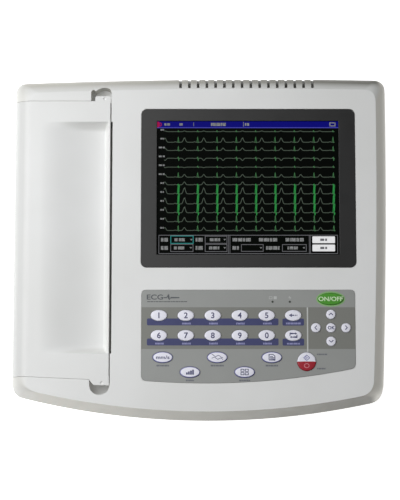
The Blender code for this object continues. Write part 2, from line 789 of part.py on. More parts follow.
def cover_mesh():
    """The cover as one closed loft: each row runs along the outside from the lip to the hinge bead and
    back along the inside."""
    rows = ((0.0, 0.0), (1.0, 0.0), (1.0, 1.0), (2.0, 1.0), (2.0, 0.0), (3.0, 0.0))
    profile = recess_profile()
    left_centre = -WIDTH / 2 + SHOULDER_LEFT
    outer_round = arc((left_centre, -SHOULDER_LEFT), SHOULDER_LEFT, math.pi / 2, math.pi, 6)
    inner_round = arc((left_centre, -SHOULDER_LEFT), SHOULDER_LEFT - COVER_WALL, math.pi / 2, math.pi, 6)
    section = [(COVER_RIGHT, -FLANGE_DEPTH, 0.0), (COVER_RIGHT, -0.8, 0.0), (COVER_RIGHT - 0.5, -0.2, 0.0)]
    section += [(u, 0.0, share) for u, share in profile]
    section += [(u, w, 0.0) for u, w in outer_round]
    section += [(u, -SHOULDER_LEFT - 2.6, 0.0) for u in (-WIDTH / 2, -WIDTH / 2 + COVER_WALL)]
    section += [(u, w, 0.0) for u, w in reversed(inner_round)]
    section += [(u, -COVER_WALL, share) for u, share in reversed(profile[3:])]
    section += [(COVER_RIGHT - COVER_WALL, -COVER_WALL, 1.0), (COVER_RIGHT - COVER_WALL, -FLANGE_DEPTH, 0.0)]
    rings = []
    for place, depth_share in rows:
        ring = []
        for u, w, share in section:
            depth = RECESS_DEPTH * share
            run = {
                0.0: front_seam(u),
                1.0: RECESS[0] + depth * depth_share,
                2.0: RECESS[1] - depth * depth_share,
                3.0: COVER_REAR,
            }[place]
            ring.append((u, run, w - depth * depth_share))
        rings.append(ring)
    return loft(rings)


def ear_plate(front, rear):
    """A plate under the cover that carries one of the platen's bushes."""
    outline = [(PLATEN[0] - 7.0, -1.0), (PLATEN[0] - 7.0, PLATEN[1])]
    outline += arc(PLATEN, 7.0, math.pi, 2 * math.pi, 8)[1:]
    outline += [(COVER_RIGHT - 0.4, -1.0)]
    return side_prism(outline, front, rear)


def make_cover():
    shell = material("shell_white", SHELL_WHITE, 0.45)
    ob = add("paper_cover", cover_mesh(), shell, origin=(HINGE[0], 0.0, HINGE[1]))
    edge = COVER_RIGHT - 0.05
    rear_tab = rounded_rectangle(REAR_TAB[0], edge, COVER_REAR - 3.0, REAR_TAB[1], 1.6, 3)
    front_tab = [*FRONT_TAB, (edge, FRONT_TAB_EDGE), (edge, FRONT_TAB[0][1])]
    front_end = front_seam(HINGE[0])
    shift = Matrix.Translation((-HINGE[0], 0.0, -HINGE[1]))
    pieces = (
        ("UNION", rod(HINGE, front_end + 0.02, COVER_REAR - 0.02, HINGE_BEAD, 16)),
        ("UNION", ear_plate(*EAR_REAR)),
        ("UNION", ear_plate(*EAR_FRONT)),
        ("UNION", prism(rear_tab, -TAB_THICKNESS, -0.04)),
        ("UNION", prism(front_tab, -TAB_THICKNESS, -0.04)),
        ("DIFFERENCE", rod(HINGE, COVER_REAR - 8.0, COVER_REAR + 2.0, HINGE_PIN + 0.1, 16)),
        ("DIFFERENCE", rod(HINGE, front_end - 2.0, front_end + 8.0, HINGE_PIN + 0.1, 16)),
        ("DIFFERENCE", rod(PLATEN, -112.0, 125.0, BUSH_RADIUS + 0.1, 20)),
    )
    for operation, bm in pieces:
        bm.transform(shift)
        shape(ob, operation, bm)
        ob.modifiers[-1].object.location = ob.location
    steel = material("steel", STEEL, 0.3, 1.0)
    rear = (COVER_REAR - 7.0, COVER_REAR + 5.8)
    front = (front_end - 5.0, front_end + 7.0)
    for name, span in (("cover_hinge_pin_rear", rear), ("cover_hinge_pin_front", front)):
        turned(name, rod_profile(HINGE_PIN, span), steel, (HINGE[0], 0.0, HINGE[1]), steps=16)


# ---- the printer ----


def rod_profile(radius, span):
    return [(0.0, span[1]), (radius, span[1]), (radius, span[0]), (0.0, span[0])]


def tube_profile(outer, inner, span):
    return [(outer, span[1]), (outer, span[0]), (inner, span[0]), (inner, span[1])]


def gear_outline(centre, teeth, first):
    """Straight-flanked teeth a little thinner than half the pitch, one of them centred on an angle."""
    pitch = MODULE * teeth / 2
    flank = ((pitch - 1.25 * MODULE, -0.96), (pitch + 0.95 * MODULE, -0.30))
    outline = []
    for i in range(teeth):
        middle = first + 2 * math.pi * i / teeth
        for radius, half in (*flank, *((r, -h) for r, h in reversed(flank))):
            a = middle + half * MODULE / radius
            outline.append((centre[0] + radius * math.cos(a), centre[1] + radius * math.sin(a)))
    return outline


def beside(centre, teeth, other_teeth, bearing):
    """Where a gear's neighbour stands, on a bearing in the plane of u and w."""
    reach = MODULE * (teeth + other_teeth) / 2 + CENTRE_SLACK
    return (centre[0] + reach * math.cos(bearing), centre[1] + reach * math.sin(bearing))


IDLER = beside(PLATEN, PLATEN_TEETH, IDLER_TEETH, IDLER_BEARING)
PINION = beside(IDLER, IDLER_TEETH, PINION_TEETH, PINION_BEARING)


def make_gears():
    """Platen gear, idler and motor pinion, in mesh: a tooth of one stands in a gap of the next."""
    plastic = material("gear_white", (0.75, 0.73, 0.65), 0.5)
    idler_first = IDLER_BEARING + math.pi + math.pi / IDLER_TEETH
    pitch_angle = 2 * math.pi / IDLER_TEETH
    lead = (idler_first - PINION_BEARING) % pitch_angle
    pinion_gap = PINION_BEARING + math.pi - lead * IDLER_TEETH / PINION_TEETH
    pinion_first = pinion_gap + math.pi / PINION_TEETH
    platen = add(
        "platen_gear",
        side_prism(gear_outline(PLATEN, PLATEN_TEETH, IDLER_BEARING), *GEAR_SPAN),
        plastic,
        origin=(PLATEN[0], 0.0, PLATEN[1]),
    )
    idler = add(
        "idler_gear",
        side_prism(gear_outline(IDLER, IDLER_TEETH, idler_first), *GEAR_SPAN),
        plastic,
        origin=(IDLER[0], 0.0, IDLER[1]),
    )
    pinion = add(
        "motor_pinion",
        side_prism(gear_outline(PINION, PINION_TEETH, pinion_first), *GEAR_SPAN),
        material("brass", BRASS, 0.3, 1.0),
        origin=(PINION[0], 0.0, PINION[1]),
    )
    own_centre = (0.0, 0.0)
    for ob, operation, bm in (
        (platen, "DIFFERENCE", rod(own_centre, 118.0, 130.0, SHAFT_RADIUS + 0.1, 16)),
        (idler, "DIFFERENCE", rod(own_centre, 118.0, 130.0, IDLER_POST + 0.15, 16)),
        (pinion, "UNION", rod(own_centre, MOTOR_SPAN[1] + GAP, 125.0, 1.5, 12)),
    ):
        shape(ob, operation, bm)
        ob.modifiers[-1].object.location = ob.location


def make_platen():
    steel = material("steel", STEEL, 0.3, 1.0)
    rubber = material("platen_rubber", (0.03, 0.03, 0.03), 0.7)
    middle = (PLATEN[0], 0.0, PLATEN[1])
    turned("platen_roller", tube_profile(PLATEN_RADIUS, SHAFT_RADIUS + 0.1, PLATEN_SPAN), rubber, middle)
    turned("platen_shaft", rod_profile(SHAFT_RADIUS, SHAFT_SPAN), steel, middle, steps=20)
    bush = material("bush_white", (0.8, 0.8, 0.75), 0.5)
    for name, span in (("platen_bush_rear", (116.6, 121.4)), ("platen_bush_front", (-108.8, -104.0))):
        turned(name, tube_profile(BUSH_RADIUS, SHAFT_RADIUS + 0.15, span), bush, middle, steps=20)


def make_printer_frame():
    front, rear = FRAME_OUT
    low, high = FRAME_W
    outside = [(front, high), (front, low), (rear, low), (rear, high)]
    front, rear, low = front + FRAME_SHEET, rear - FRAME_SHEET, low + FRAME_SHEET
    channel = [*outside, (rear, high), (rear, low), (front, low), (front, high)]
    ob = add("printer_frame", end_prism(channel, *FRAME_U), material("zinc_steel", STEEL, 0.4, 1.0))
    fuse(ob, rod(IDLER, rear + 0.5, GEAR_SPAN[1] + 1.0, IDLER_POST, 16))
    seat = BUSH_RADIUS + GAP
    notch = arc(PLATEN, seat, math.pi, 2 * math.pi, 10)
    notch += [(PLATEN[0] + seat + 3.0, high + 1.0), (PLATEN[0] - seat - 3.0, high + 1.0)]
    cut(ob, side_prism(notch, front - 4.0, rear + 3.0))
    cut(ob, rod(PINION, rear - 5.0, rear + 5.0, 3.0, 16))
    cut(ob, box((FRAME_U[0] - 1.0, front + 20.0, low - 3.0), (FRAME_U[0] + 10.0, rear - 38.0, low + 4.0)))


def make_print_head():
    face = PLATEN[0] + PLATEN_RADIUS + GAP
    inner = (FRAME_OUT[0] + FRAME_SHEET + 0.8, FRAME_OUT[1] - FRAME_SHEET - 0.8)
    add(
        "print_head",
        box((face, PLATEN_SPAN[0], -23.0), (face + 4.6, PLATEN_SPAN[1], -11.0)),
        material("ceramic_white", (0.6, 0.6, 0.58), 0.35),
    )
    back = face + 4.6 + GAP
    bracket = [(back, -21.0), (back + 1.8, -21.0), (back + 1.8, -7.0)]
    bracket += [(back + 16.0, -7.0), (back + 16.0, -5.2), (back, -5.2)]
    add("head_bracket", side_prism(bracket, *inner), material("zinc_steel", STEEL, 0.4, 1.0))


def make_motor():
    zinc = material("zinc_steel", STEEL, 0.4, 1.0)
    body = add("stepper_motor", rod(PINION, *MOTOR_SPAN, MOTOR_RADIUS, 28), zinc)
    cut(body, rod(PINION, MOTOR_SPAN[1] - 3.0, MOTOR_SPAN[1] + 2.0, 2.4, 14))


def make_paper():
    middle = (ROLL[0], 0.0, ROLL[1])
    paper = material("paper_white", (0.85, 0.84, 0.82), 0.7)
    turned("paper_roll", tube_profile(ROLL_RADIUS, 6.2, ROLL_SPAN), paper, middle, steps=36)
    span = (TRAY_SPAN[0] + 0.6, TRAY_SPAN[1] - 0.6)
    flange = 6.0
    spindle = [
        (0.0, span[1]), (SPINDLE_RADIUS, span[1]), (SPINDLE_RADIUS, ROLL_SPAN[1] - 2.0),
        (flange, ROLL_SPAN[1] - 2.0), (flange, ROLL_SPAN[0] + 2.0),
        (SPINDLE_RADIUS, ROLL_SPAN[0] + 2.0), (SPINDLE_RADIUS, span[0]), (0.0, span[0]),
    ]
    turned("paper_spindle", spindle, material("tray_grey", (0.35, 0.35, 0.35), 0.6), middle)
    reach = ROLL_RADIUS + 2.5
    outer = [(ROLL[0] + reach + 2.5, TRAY_TOP), (ROLL[0] - reach - 2.5, TRAY_TOP)]
    outer += arc(ROLL, reach + 2.5, math.pi, 2 * math.pi, 12)
    tray = add("paper_tray", side_prism(outer, *TRAY_SPAN), material("tray_grey", (0.35, 0.35, 0.35), 0.6))
    inside = [(ROLL[0] + reach, 0.0), (ROLL[0] - reach, 0.0), *arc(ROLL, reach, math.pi, 2 * math.pi, 12)]
    cut(tray, side_prism(inside, TRAY_SPAN[0] + 6.0, TRAY_SPAN[1] - 6.0))
    seat = SPINDLE_RADIUS + GAP
    slot = [(ROLL[0] + seat, 0.0), (ROLL[0] - seat, 0.0), *arc(ROLL, seat, math.pi, 2 * math.pi, 8)]
    cut(tray, side_prism(slot, TRAY_SPAN[0] - 2.0, TRAY_SPAN[1] + 2.0))


make_top_case()
make_bottom_case()
make_feet()
make_hatch()
make_rear_fittings()
make_side_fittings()
make_inner_boards()
make_display()
make_keypad()
make_cover()
make_gears()
make_platen()
make_printer_frame()
make_print_head()
make_motor()
make_paper()
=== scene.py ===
"""Looks for a twelve-lead ECG machine: the case, the paper cover, the display, the keypad and the printer.

Pieces are modelled in millimetres, in the deck's own frame unless they belong to the lower case: u runs
right, v runs to the rear along the sloping deck, and w stands square to it, with w = 0 on its surface.
"""

import math

import bmesh
import bpy
from mathutils import Matrix, Vector


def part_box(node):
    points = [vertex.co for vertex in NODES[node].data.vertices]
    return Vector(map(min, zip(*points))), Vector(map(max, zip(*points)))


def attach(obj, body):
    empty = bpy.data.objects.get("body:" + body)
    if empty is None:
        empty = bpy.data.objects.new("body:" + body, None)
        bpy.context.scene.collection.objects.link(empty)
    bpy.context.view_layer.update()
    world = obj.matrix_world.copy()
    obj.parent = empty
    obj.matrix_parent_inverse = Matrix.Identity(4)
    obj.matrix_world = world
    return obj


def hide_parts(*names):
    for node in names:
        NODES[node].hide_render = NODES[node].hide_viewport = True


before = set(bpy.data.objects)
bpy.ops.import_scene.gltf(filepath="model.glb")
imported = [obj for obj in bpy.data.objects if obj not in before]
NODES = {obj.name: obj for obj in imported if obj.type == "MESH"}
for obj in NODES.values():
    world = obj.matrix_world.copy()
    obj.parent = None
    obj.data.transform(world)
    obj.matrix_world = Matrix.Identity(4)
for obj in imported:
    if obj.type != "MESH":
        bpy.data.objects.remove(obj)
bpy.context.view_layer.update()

MM = 0.001
GAP = 0.3
SLOPE = math.radians(4.0)
SLOPE_COS, SLOPE_SIN = math.cos(SLOPE), math.sin(SLOPE)
BEZEL_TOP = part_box("display_bezel")
DECK_HEIGHT = BEZEL_TOP[1].z / MM - (BEZEL_TOP[1].y / MM) * math.tan(SLOPE)
DECK = Matrix.Translation((0.0, 0.0, DECK_HEIGHT * MM)) @ Matrix.Rotation(SLOPE, 4, "X")
UPRIGHT = Matrix.Identity(4)

# The case
WIDTH = 350.0
DEPTH = 324.0
LIP = 22.0
TOP_WALL = 3.0
BOTTOM_WALL = 2.5
FOOT_HEIGHT = 4.0
# each bowed edge: the middle of its arc, and the arc's radius
FRONT_ARC = (7.0, 715.0)
REAR_ARC = (55.0, 5750.0)
RIGHT_ARC = (120.0, 6400.0)
CORNER = {"front_left": 10.0, "front_right": 11.0, "rear_right": 11.0, "rear_left": 10.0}
SHOULDER_RIGHT = 10.0
SHOULDER_REAR = 12.4
SHOULDER_LEFT = 15.0
SHOULDER_DEPTH = 13.5
SHOULDER_POWER = 2.2
SHOULDER_LEVELS = (22.0, 15.0, 13.5, 11.4, 9.4, 7.6, 6.0, 4.6, 3.4, 2.4, 1.6, 1.0, 0.5, 0.15, 0.0)
FRONT_LEAN = 5.9
REAR_EDGE = (DEPTH / 2 - LIP * SLOPE_SIN) / SLOPE_COS
FRONT_EDGE = -(DEPTH / 2 + LIP * SLOPE_SIN) / SLOPE_COS

# the vent slots: the first one's middle, their spacing and half their width
VENT_FIRST, VENT_PITCH, VENT_HALF = -18.9, 8.31, 1.25
VENT_RUN = (149.6, 167.0)

# Display and keypad: left, right, front and rear edges on the deck
BEZEL = (-55.6, 145.2, -23.0, 128.8)
BEZEL_RADIUS = 5.6
SCREEN = (-41.0, 129.9, -10.7, 117.5)
PANEL_FACE = -1.7
OVERLAY = (-54.8, 143.5, -131.7, -44.4)
OVERLAY_ARC = (5.0, 690.0)
OVERLAY_TOP = 0.2

# Paper cover
COVER_RIGHT = -84.6
COVER_REAR = 136.6
COVER_FRONT = -128.9
COVER_FRONT_SLANT = 0.045
COVER_WALL = 2.0
COVER_GAP = 0.7  # beside the cover's right edge; the slit is wider
RECESS = (-104.0, 116.6)
RECESS_DEPTH = 8.0
RECESS_FILLET = 0.4
RECESS_END = 9.0  # how far in the scooped end walls reach
# the recess's near side: distance in from the cover's right edge, and the share of the full depth
RECESS_LIP = (
    (0.8, 0.0), (1.3, 0.09), (1.9, 0.27), (2.5, 0.48), (3.1, 0.68),
    (3.7, 0.83), (4.4, 0.94), (5.2, 0.99), (6.0, 1.0),
)
RECESS_SCOOP = 59.4  # the far side rises over this width
FLANGE_DEPTH = 10.6
SLIT_RIGHT = -82.7
HINGE = (-171.8, -18.7)
PLATEN = (-91.5, -18.5)
BUSH_RADIUS = 4.2
NOTCH_FLOOR = -14.0
NOTCH_BLOCK = (-16.5, -2.6)  # the solid around each notch
HINGE_BEAD = 2.7
HINGE_PIN = 1.4

# Keys
KEY_TOP = 1.4
KEY_FOOT = -3.0
NUMBER_HALF = (7.6, 5.1)
FUNCTION_HALF = (9.3, 5.15)
NUMBER_ROWS = (-68.4, -87.2)
NUMBER_LEFT, NUMBER_PITCH = -38.6, 25.0
EDIT_COLUMN = 86.1
FUNCTION_LEFT, FUNCTION_PITCH = -35.0, 25.25
FUNCTION_ROWS = (-107.7, -121.5)
ARROWS, ARROW_REACH = (121.0, -80.0), (14.0, 12.6)
POWER_AT = (120.9, -52.9)
START_AT = (98.2, -111.7)
FUNCTION_KEYS = ("speed", "gain", "filter", "layout", "report")
INK = 0.05  # thickness of printing on the keypad


def srgb(code):
    """A colour written as six hexadecimal digits, as the linear values the shaders use."""
    values = [int(code[i : i + 2], 16) / 255 for i in (0, 2, 4)]
    return tuple(v / 12.92 if v <= 0.04045 else ((v + 0.055) / 1.055) ** 2.4 for v in values)


# ---- materials ----


class Shader:
    """A node material with a Principled shader, and short ways to add the nodes it needs."""

    def __init__(self, name, roughness, metallic=0.0, **constants):
        self.material = bpy.data.materials.new(name)
        self.material.use_nodes = True
        self.tree = self.material.node_tree
        self.principled = self.tree.nodes["Principled BSDF"]
        self.principled.inputs["Metallic"].default_value = metallic
        self.principled.inputs["Roughness"].default_value = roughness
        for socket, value in constants.items():
            self.principled.inputs[socket.replace("_", " ")].default_value = value
        self.place = self.add("ShaderNodeTexCoord").outputs["Object"]

    def add(self, kind, **settings):
        node = self.tree.nodes.new(kind)
        for key, value in settings.items():
            setattr(node, key, value)
        return node

    def link(self, source, target):
        self.tree.links.new(source, target)

    def stretched(self, scale):
        mapping = self.add("ShaderNodeMapping")
        mapping.inputs["Scale"].default_value = scale
        self.link(self.place, mapping.inputs["Vector"])
        return mapping.outputs["Vector"]

    def noise(self, scale, detail=2.0, where=None):
        node = self.add("ShaderNodeTexNoise")
        node.inputs["Scale"].default_value = scale
        node.inputs["Detail"].default_value = detail
        self.link(where or self.place, node.inputs["Vector"])
        return node.outputs["Fac"]

    def ramp(self, source, low, high, to_low=0.0, to_high=1.0, smooth=False):
        node = self.add("ShaderNodeMapRange")
        if smooth:
            node.interpolation_type = "SMOOTHSTEP"
        for key, value in (("From Min", low), ("From Max", high), ("To Min", to_low), ("To Max", to_high)):
            node.inputs[key].default_value = value
        self.link(source, node.inputs["Value"])
        return node.outputs["Result"]

    def mix(self, share, first, second):
        node = self.add("ShaderNodeMix", data_type="RGBA")
        self.link(share, node.inputs["Factor"])
        for value, socket in ((first, node.inputs["A"]), (second, node.inputs["B"])):
            if isinstance(value, tuple):
                socket.default_value = (*value, 1.0)
            else:
                self.link(value, socket)
        return node.outputs["Result"]

    def axes(self, source):
        """A vector's parts, by the names of its axes."""
        node = self.add("ShaderNodeSeparateXYZ")
        self.link(source, node.inputs["Vector"])
        return node.outputs

    def product(self, first, second):
        node = self.add("ShaderNodeMath", operation="MULTIPLY")
        self.link(first, node.inputs[0])
        self.link(second, node.inputs[1])
        return node.outputs["Value"]

    def colour(self, source):
        self.link(source, self.principled.inputs["Base Color"])

    def emit(self, strength, colour):
        self.principled.inputs["Emission Color"].default_value = (*colour, 1.0)
        self.principled.inputs["Emission Strength"].default_value = strength

    def grain(self, height, depth, strength=1.0):
        """Surface texture: depth is in millimetres."""
        bump = self.add("ShaderNodeBump")
        bump.inputs["Strength"].default_value = strength
        bump.inputs["Distance"].default_value = depth * MM
        self.link(height, bump.inputs["Height"])
        self.link(bump.outputs["Normal"], self.principled.inputs["Normal"])

    def worn_roughness(self, low, high, scale=60.0):
        level = self.ramp(self.noise(scale, 4.0), 0.3, 0.7, low, high)
        self.link(level, self.principled.inputs["Roughness"])


def moulded(name, code, roughness=0.5, vary=0.03, grain=900.0, depth=0.03):
    """Injection-moulded plastic: a faintly uneven colour and the fine sparkle of an etched mould."""
    shader = Shader(name, roughness)
    colour = srgb(code)
    darker = tuple(c * (1 - vary) for c in colour)
    lighter = tuple(min(1.0, c * (1 + vary)) for c in colour)
    shader.colour(shader.mix(shader.ramp(shader.noise(14.0, 3.0), 0.35, 0.65), darker, lighter))
    shader.grain(shader.noise(grain, 3.0), depth)
    shader.worn_roughness(roughness - 0.05, roughness + 0.06)
    return shader


def metal(name, code, roughness, along=(1.0, 1.0, 1.0)):
    """Bare metal with the fine streaks that rolling or turning leaves."""
    shader = Shader(name, roughness, metallic=1.0)
    colour = srgb(code)
    streaks = shader.noise(400.0, 3.0, shader.stretched(along))
    shader.colour(shader.mix(streaks, tuple(c * 0.85 for c in colour), colour))
    shader.grain(streaks, 0.02)
    shader.worn_roughness(roughness - 0.06, roughness + 0.1)
    return shader


def shell_shader(name, sides, far_side_shade, right_side_shade, left_side_shade):
    """The white case. Its sloped sides carry painted shade with a warm painted reflection, lighter at the
    left end and darker to the right and on right-facing faces; the left shoulder carries painted shade too.
    """
    shader = Shader(name, 0.42)
    top = shader.mix(shader.ramp(shader.noise(9.0, 3.0), 0.35, 0.65), srgb("dddedd"), srgb("e3e4e4"))
    facing = shader.axes(shader.add("ShaderNodeNewGeometry").outputs["Normal"])
    spot = shader.axes(shader.place)
    # painted shade with a warm painted reflection on the sloped sides, darkening from the left end to the
    # right end
    side_shade = shader.mix(shader.ramp(spot["X"], -0.12, 0.16), srgb(sides), srgb(far_side_shade))
    # faces that look to the right get a further painted shade
    side_shade = shader.mix(shader.ramp(facing["X"], 0.15, 0.6, smooth=True), side_shade, srgb(right_side_shade))
    # steep faces take the painted side shade, the flat top keeps the plain white
    shaded_shell = shader.mix(shader.ramp(facing["Z"], 0.78, 0.975, 1.0, 0.0, smooth=True), top, side_shade)
    # painted shade on the left shoulder's outward faces, darkening them where the lamp falls strongest
    left = shader.product(shader.ramp(facing["X"], -0.03, -0.42), shader.ramp(spot["X"], -0.150, -0.156))
    shader.colour(shader.mix(left, shaded_shell, srgb(left_side_shade)))
    shader.grain(shader.noise(1100.0, 3.0), 0.025)
    shader.worn_roughness(0.38, 0.5)
    # a faint painted glow: the shell gives off a little light of its own, which lifts its shadows
    shader.emit(0.05, (1.0, 1.0, 0.97))
    return shader


def bezel_shader():
    """The display's satin frame, with a painted reflection of the lamp: lighter at the left, darker towards
    the right.
    """
    shader = Shader("bezel_plastic", 0.5)
    # painted reflection: the frame's colour runs from lighter at the left to darker at the right
    painted_reflection_drift = shader.ramp(shader.axes(shader.place)["X"], -0.05, 0.14)
    shader.colour(shader.mix(painted_reflection_drift, srgb("363636"), srgb("1f1f1f")))
    shader.grain(shader.noise(1400.0, 3.0), 0.02)
    shader.worn_roughness(0.44, 0.6)
    return shader


def overlay_shader():
    """The keypad's printed film: a darker band behind the number and arrow keys."""
    shader = Shader("keypad_film", 0.42)
    along = shader.axes(shader.place)["Y"]
    before = shader.ramp(along, -0.0608, -0.0605, 1.0, 0.0)
    band = shader.product(before, shader.ramp(along, -0.1000, -0.0997))
    plain = shader.mix(shader.noise(30.0, 2.0), srgb("999b99"), srgb("a1a3a1"))
    shader.colour(shader.mix(band, plain, srgb("83847f")))
    shader.grain(shader.noise(1600.0, 2.0), 0.02)
    return shader


def glow(name, code, vary=0.15):
    """Part of the display's picture: lit by itself, over a nearly black face."""
    shader = Shader(name, 0.3, Specular_IOR_Level=0.1)
    level = shader.ramp(shader.noise(700.0, 1.0), 0.3, 0.7, 1 - vary, 1.0)
    lit = shader.mix(level, (0.0, 0.0, 0.0), srgb(code))
    shader.principled.inputs["Base Color"].default_value = (0.004, 0.004, 0.004, 1.0)
    shader.link(lit, shader.principled.inputs["Emission Color"])
    shader.principled.inputs["Emission Strength"].default_value = 1.0
    return shader


def glass_shader():
    """The display's dark face: a fine pixel raster under an anti-glare coat."""
    shader = Shader("display_face", 0.22, Specular_IOR_Level=0.12)
    raster = shader.add("ShaderNodeTexWave", wave_type="BANDS", bands_direction="X")
    raster.inputs["Scale"].default_value = 900.0
    shader.link(shader.place, raster.inputs["Vector"])
    shader.colour(shader.mix(raster.outputs["Fac"], srgb("020402"), srgb("050805")))
    shader.grain(shader.noise(2500.0, 2.0), 0.01)
    return shader


def board_shader():
    """Green solder mask with paler tracks under it."""
    shader = Shader("circuit_board", 0.35)
    cells = shader.add("ShaderNodeTexBrick")
    cells.inputs["Scale"].default_value = 60.0
    cells.inputs["Mortar Size"].default_value = 0.03
    for socket, code in (("Color1", "1d5a33"), ("Color2", "216338"), ("Mortar", "3d8a56")):
        cells.inputs[socket].default_value = (*srgb(code), 1.0)
    shader.link(shader.place, cells.inputs["Vector"])
    shader.colour(cells.outputs["Color"])
    shader.grain(cells.outputs["Fac"], 0.03)
    return shader


def wound_paper_shader():
    """Thermal paper: rings on the roll's ends and a faint grain round it."""
    shader = Shader("thermal_paper", 0.65)
    rings = shader.noise(500.0, 2.0, shader.stretched((3.0, 0.02, 3.0)))
    shader.colour(shader.mix(rings, srgb("dcd8cf"), srgb("f0eee8")))
    shader.grain(rings, 0.05)
    return shader


LOOKS = {
    # after each name: painted shade for the sloped sides at the left end and the right end, for right-facing
    # faces and for the left shoulder
    "shell": shell_shader("shell_plastic", "b8b6ae", "4c4a3e", "d0cdc4", "c4c4c0"),
    "cover": shell_shader("cover_plastic", "d8d9d7", "d8d9d7", "d8d9d7", "bfc0bf"),
    "lower": moulded("lower_plastic", "b9b8b3", 0.5),
    "bezel": bezel_shader(),
    "face": glass_shader(),
    "film": overlay_shader(),
    "key": moulded("key_rubber", "f2f2fe", 0.4, 0.02, 1500.0, 0.012),
    "key_rim": moulded("key_border", "8082b8", 0.42, 0.03, 1500.0, 0.012),
    "green": moulded("key_green", "4f9c2e", 0.4, 0.05, 1500.0, 0.012),
    "halo": moulded("print_pale_green", "8dbd7a", 0.45, 0.04),
    "red": moulded("key_red", "a8202f", 0.4, 0.05, 1500.0, 0.012),
    "indigo": moulded("print_indigo", "404470", 0.45, 0.05),
    "digit": moulded("print_digits", "4a4b72", 0.5, 0.06),
    "label": moulded("print_labels", "72757c", 0.5, 0.06),
    "pale_print": moulded("print_pale", "9092bd", 0.5, 0.06),
    "line_print": moulded("print_line", "c9ccc9", 0.5, 0.04),
    "title": moulded("print_title", "595c60", 0.5, 0.06),
    "grey_print": moulded("print_grey", "bfc1c0", 0.5, 0.05),
    "lime_print": moulded("print_lime", "d6eec6", 0.45, 0.04),
    "pink_print": moulded("print_pink", "d98f98", 0.45, 0.04),
    "lamp": moulded("lamp_lens", "4c4f4a", 0.2, 0.1),
    "black": moulded("black_plastic", "1b1b1c", 0.42, 0.1, 1200.0, 0.03),
    "grey": moulded("tray_plastic", "6c6d6e", 0.5),
    "rubber": moulded("foot_rubber", "242424", 0.8, 0.1, 700.0, 0.06),
    "platen": moulded("platen_rubber", "2b2b2c", 0.65, 0.08, 1500.0, 0.03),
    "gear": moulded("gear_plastic", "dcd8c8", 0.45),
    "ceramic": moulded("head_ceramic", "c9c8c2", 0.3),
    "zinc": metal("zinc_sheet", "b9bcc0", 0.4, (1.0, 0.05, 1.0)),
    "steel": metal("turned_steel", "c6c8ca", 0.28, (1.0, 0.02, 1.0)),
    "brass": metal("brass", "d2a85a", 0.3),
    "board": board_shader(),
    "battery": moulded("battery_wrap", "2c4a86", 0.4),
    "paper": wound_paper_shader(),
    "trace": glow("picture_trace", "4a554a"),
    "beat": glow("picture_beat", "2c8a42"),
    "soft_beat": glow("picture_small_beat", "3f6f45"),
    "bar": glow("picture_title_bar", "000072"),
    "bar_edge": glow("picture_bar_edge", "4a4ab0"),
    "text": glow("picture_text", "8a8c8c", 0.5),
    "frame_line": glow("picture_frame", "68686c"),
    "teal": glow("picture_teal", "2f8a86"),
    "button": glow("picture_button", "e6e6e8", 0.1),
    "alarm": glow("picture_alarm", "a01048"),
}


# ---- meshes, in millimetres until they are made into pieces ----


def meshed(name, bm):
    """A new mesh of what bm holds, which is used up."""
    mesh = bpy.data.meshes.new(name)
    bm.to_mesh(mesh)
    bm.free()
    return mesh


def placed(name, data):
    """A new object in the scene."""
    ob = bpy.data.objects.new(name, data)
    bpy.context.scene.collection.objects.link(ob)
    return ob


def evaluated(ob):
    """An object's mesh as its modifiers leave it."""
    bpy.context.view_layer.update()
    return bpy.data.meshes.new_from_object(ob.evaluated_get(bpy.context.evaluated_depsgraph_get()))


def thickened(bm, height):
    """Flat faces carried up by a height, into closed solids."""
    geometry = bmesh.ops.extrude_face_region(bm, geom=list(bm.faces))["geom"]
    verts = [item for item in geometry if isinstance(item, bmesh.types.BMVert)]
    bmesh.ops.translate(bm, verts=verts, vec=(0.0, 0.0, height))
    bmesh.ops.recalc_face_normals(bm, faces=bm.faces)
    return bm


def prism(outline, low, high):
    """A flat outline in the XY plane, carried up from low to high."""
    bm = bmesh.new()
    bm.faces.new([bm.verts.new((x, y, low)) for x, y in outline])
    return thickened(bm, high - low)


def block(left, right, front, rear, low, high):
    return prism([(left, front), (right, front), (right, rear), (left, rear)], low, high)


def side_prism(outline, front, rear):
    """A flat outline in the plane of u and w, carried along v."""
    bm = prism(outline, -rear, -front)
    bm.transform(Matrix.Rotation(math.pi / 2, 4, "X"))
    return bm


def rod(centre, front, rear, radius, segments=32):
    return side_prism(ellipse(centre, radius, radius, segments), front, rear)


def loft(rings, quads=False):
    """A closed solid through rings that all have the same number of points."""
    bm = bmesh.new()
    rows = [[bm.verts.new(point) for point in ring] for ring in rings]
    for lower, upper in zip(rows, rows[1:]):
        for i in range(len(lower)):
            j = (i + 1) % len(lower)
            bm.faces.new((lower[i], lower[j], upper[j], upper[i]))
    if not quads:
        bmesh.ops.triangulate(bm, faces=bm.faces)
    bm.faces.new(list(reversed(rows[0])))
    bm.faces.new(rows[-1])
    bmesh.ops.recalc_face_normals(bm, faces=bm.faces)
    return bm


def merged(*meshes):
    """Several meshes in one, left as they are."""
    whole = bmesh.new()
    for bm in meshes:
        mesh = meshed("part", bm)
        whole.from_mesh(mesh)
        bpy.data.meshes.remove(mesh)
    return whole


def round_point(centre, half_width, half_height, angle):
    return (centre[0] + half_width * math.cos(angle), centre[1] + half_height * math.sin(angle))


def arc(centre, radius, start, end, steps):
    return [round_point(centre, radius, radius, start + (end - start) * i / steps) for i in range(steps + 1)]


def ellipse(centre, half_width, half_height, segments):
    turns = [2 * math.pi * i / segments for i in range(segments)]
    return [round_point(centre, half_width, half_height, turn) for turn in turns]


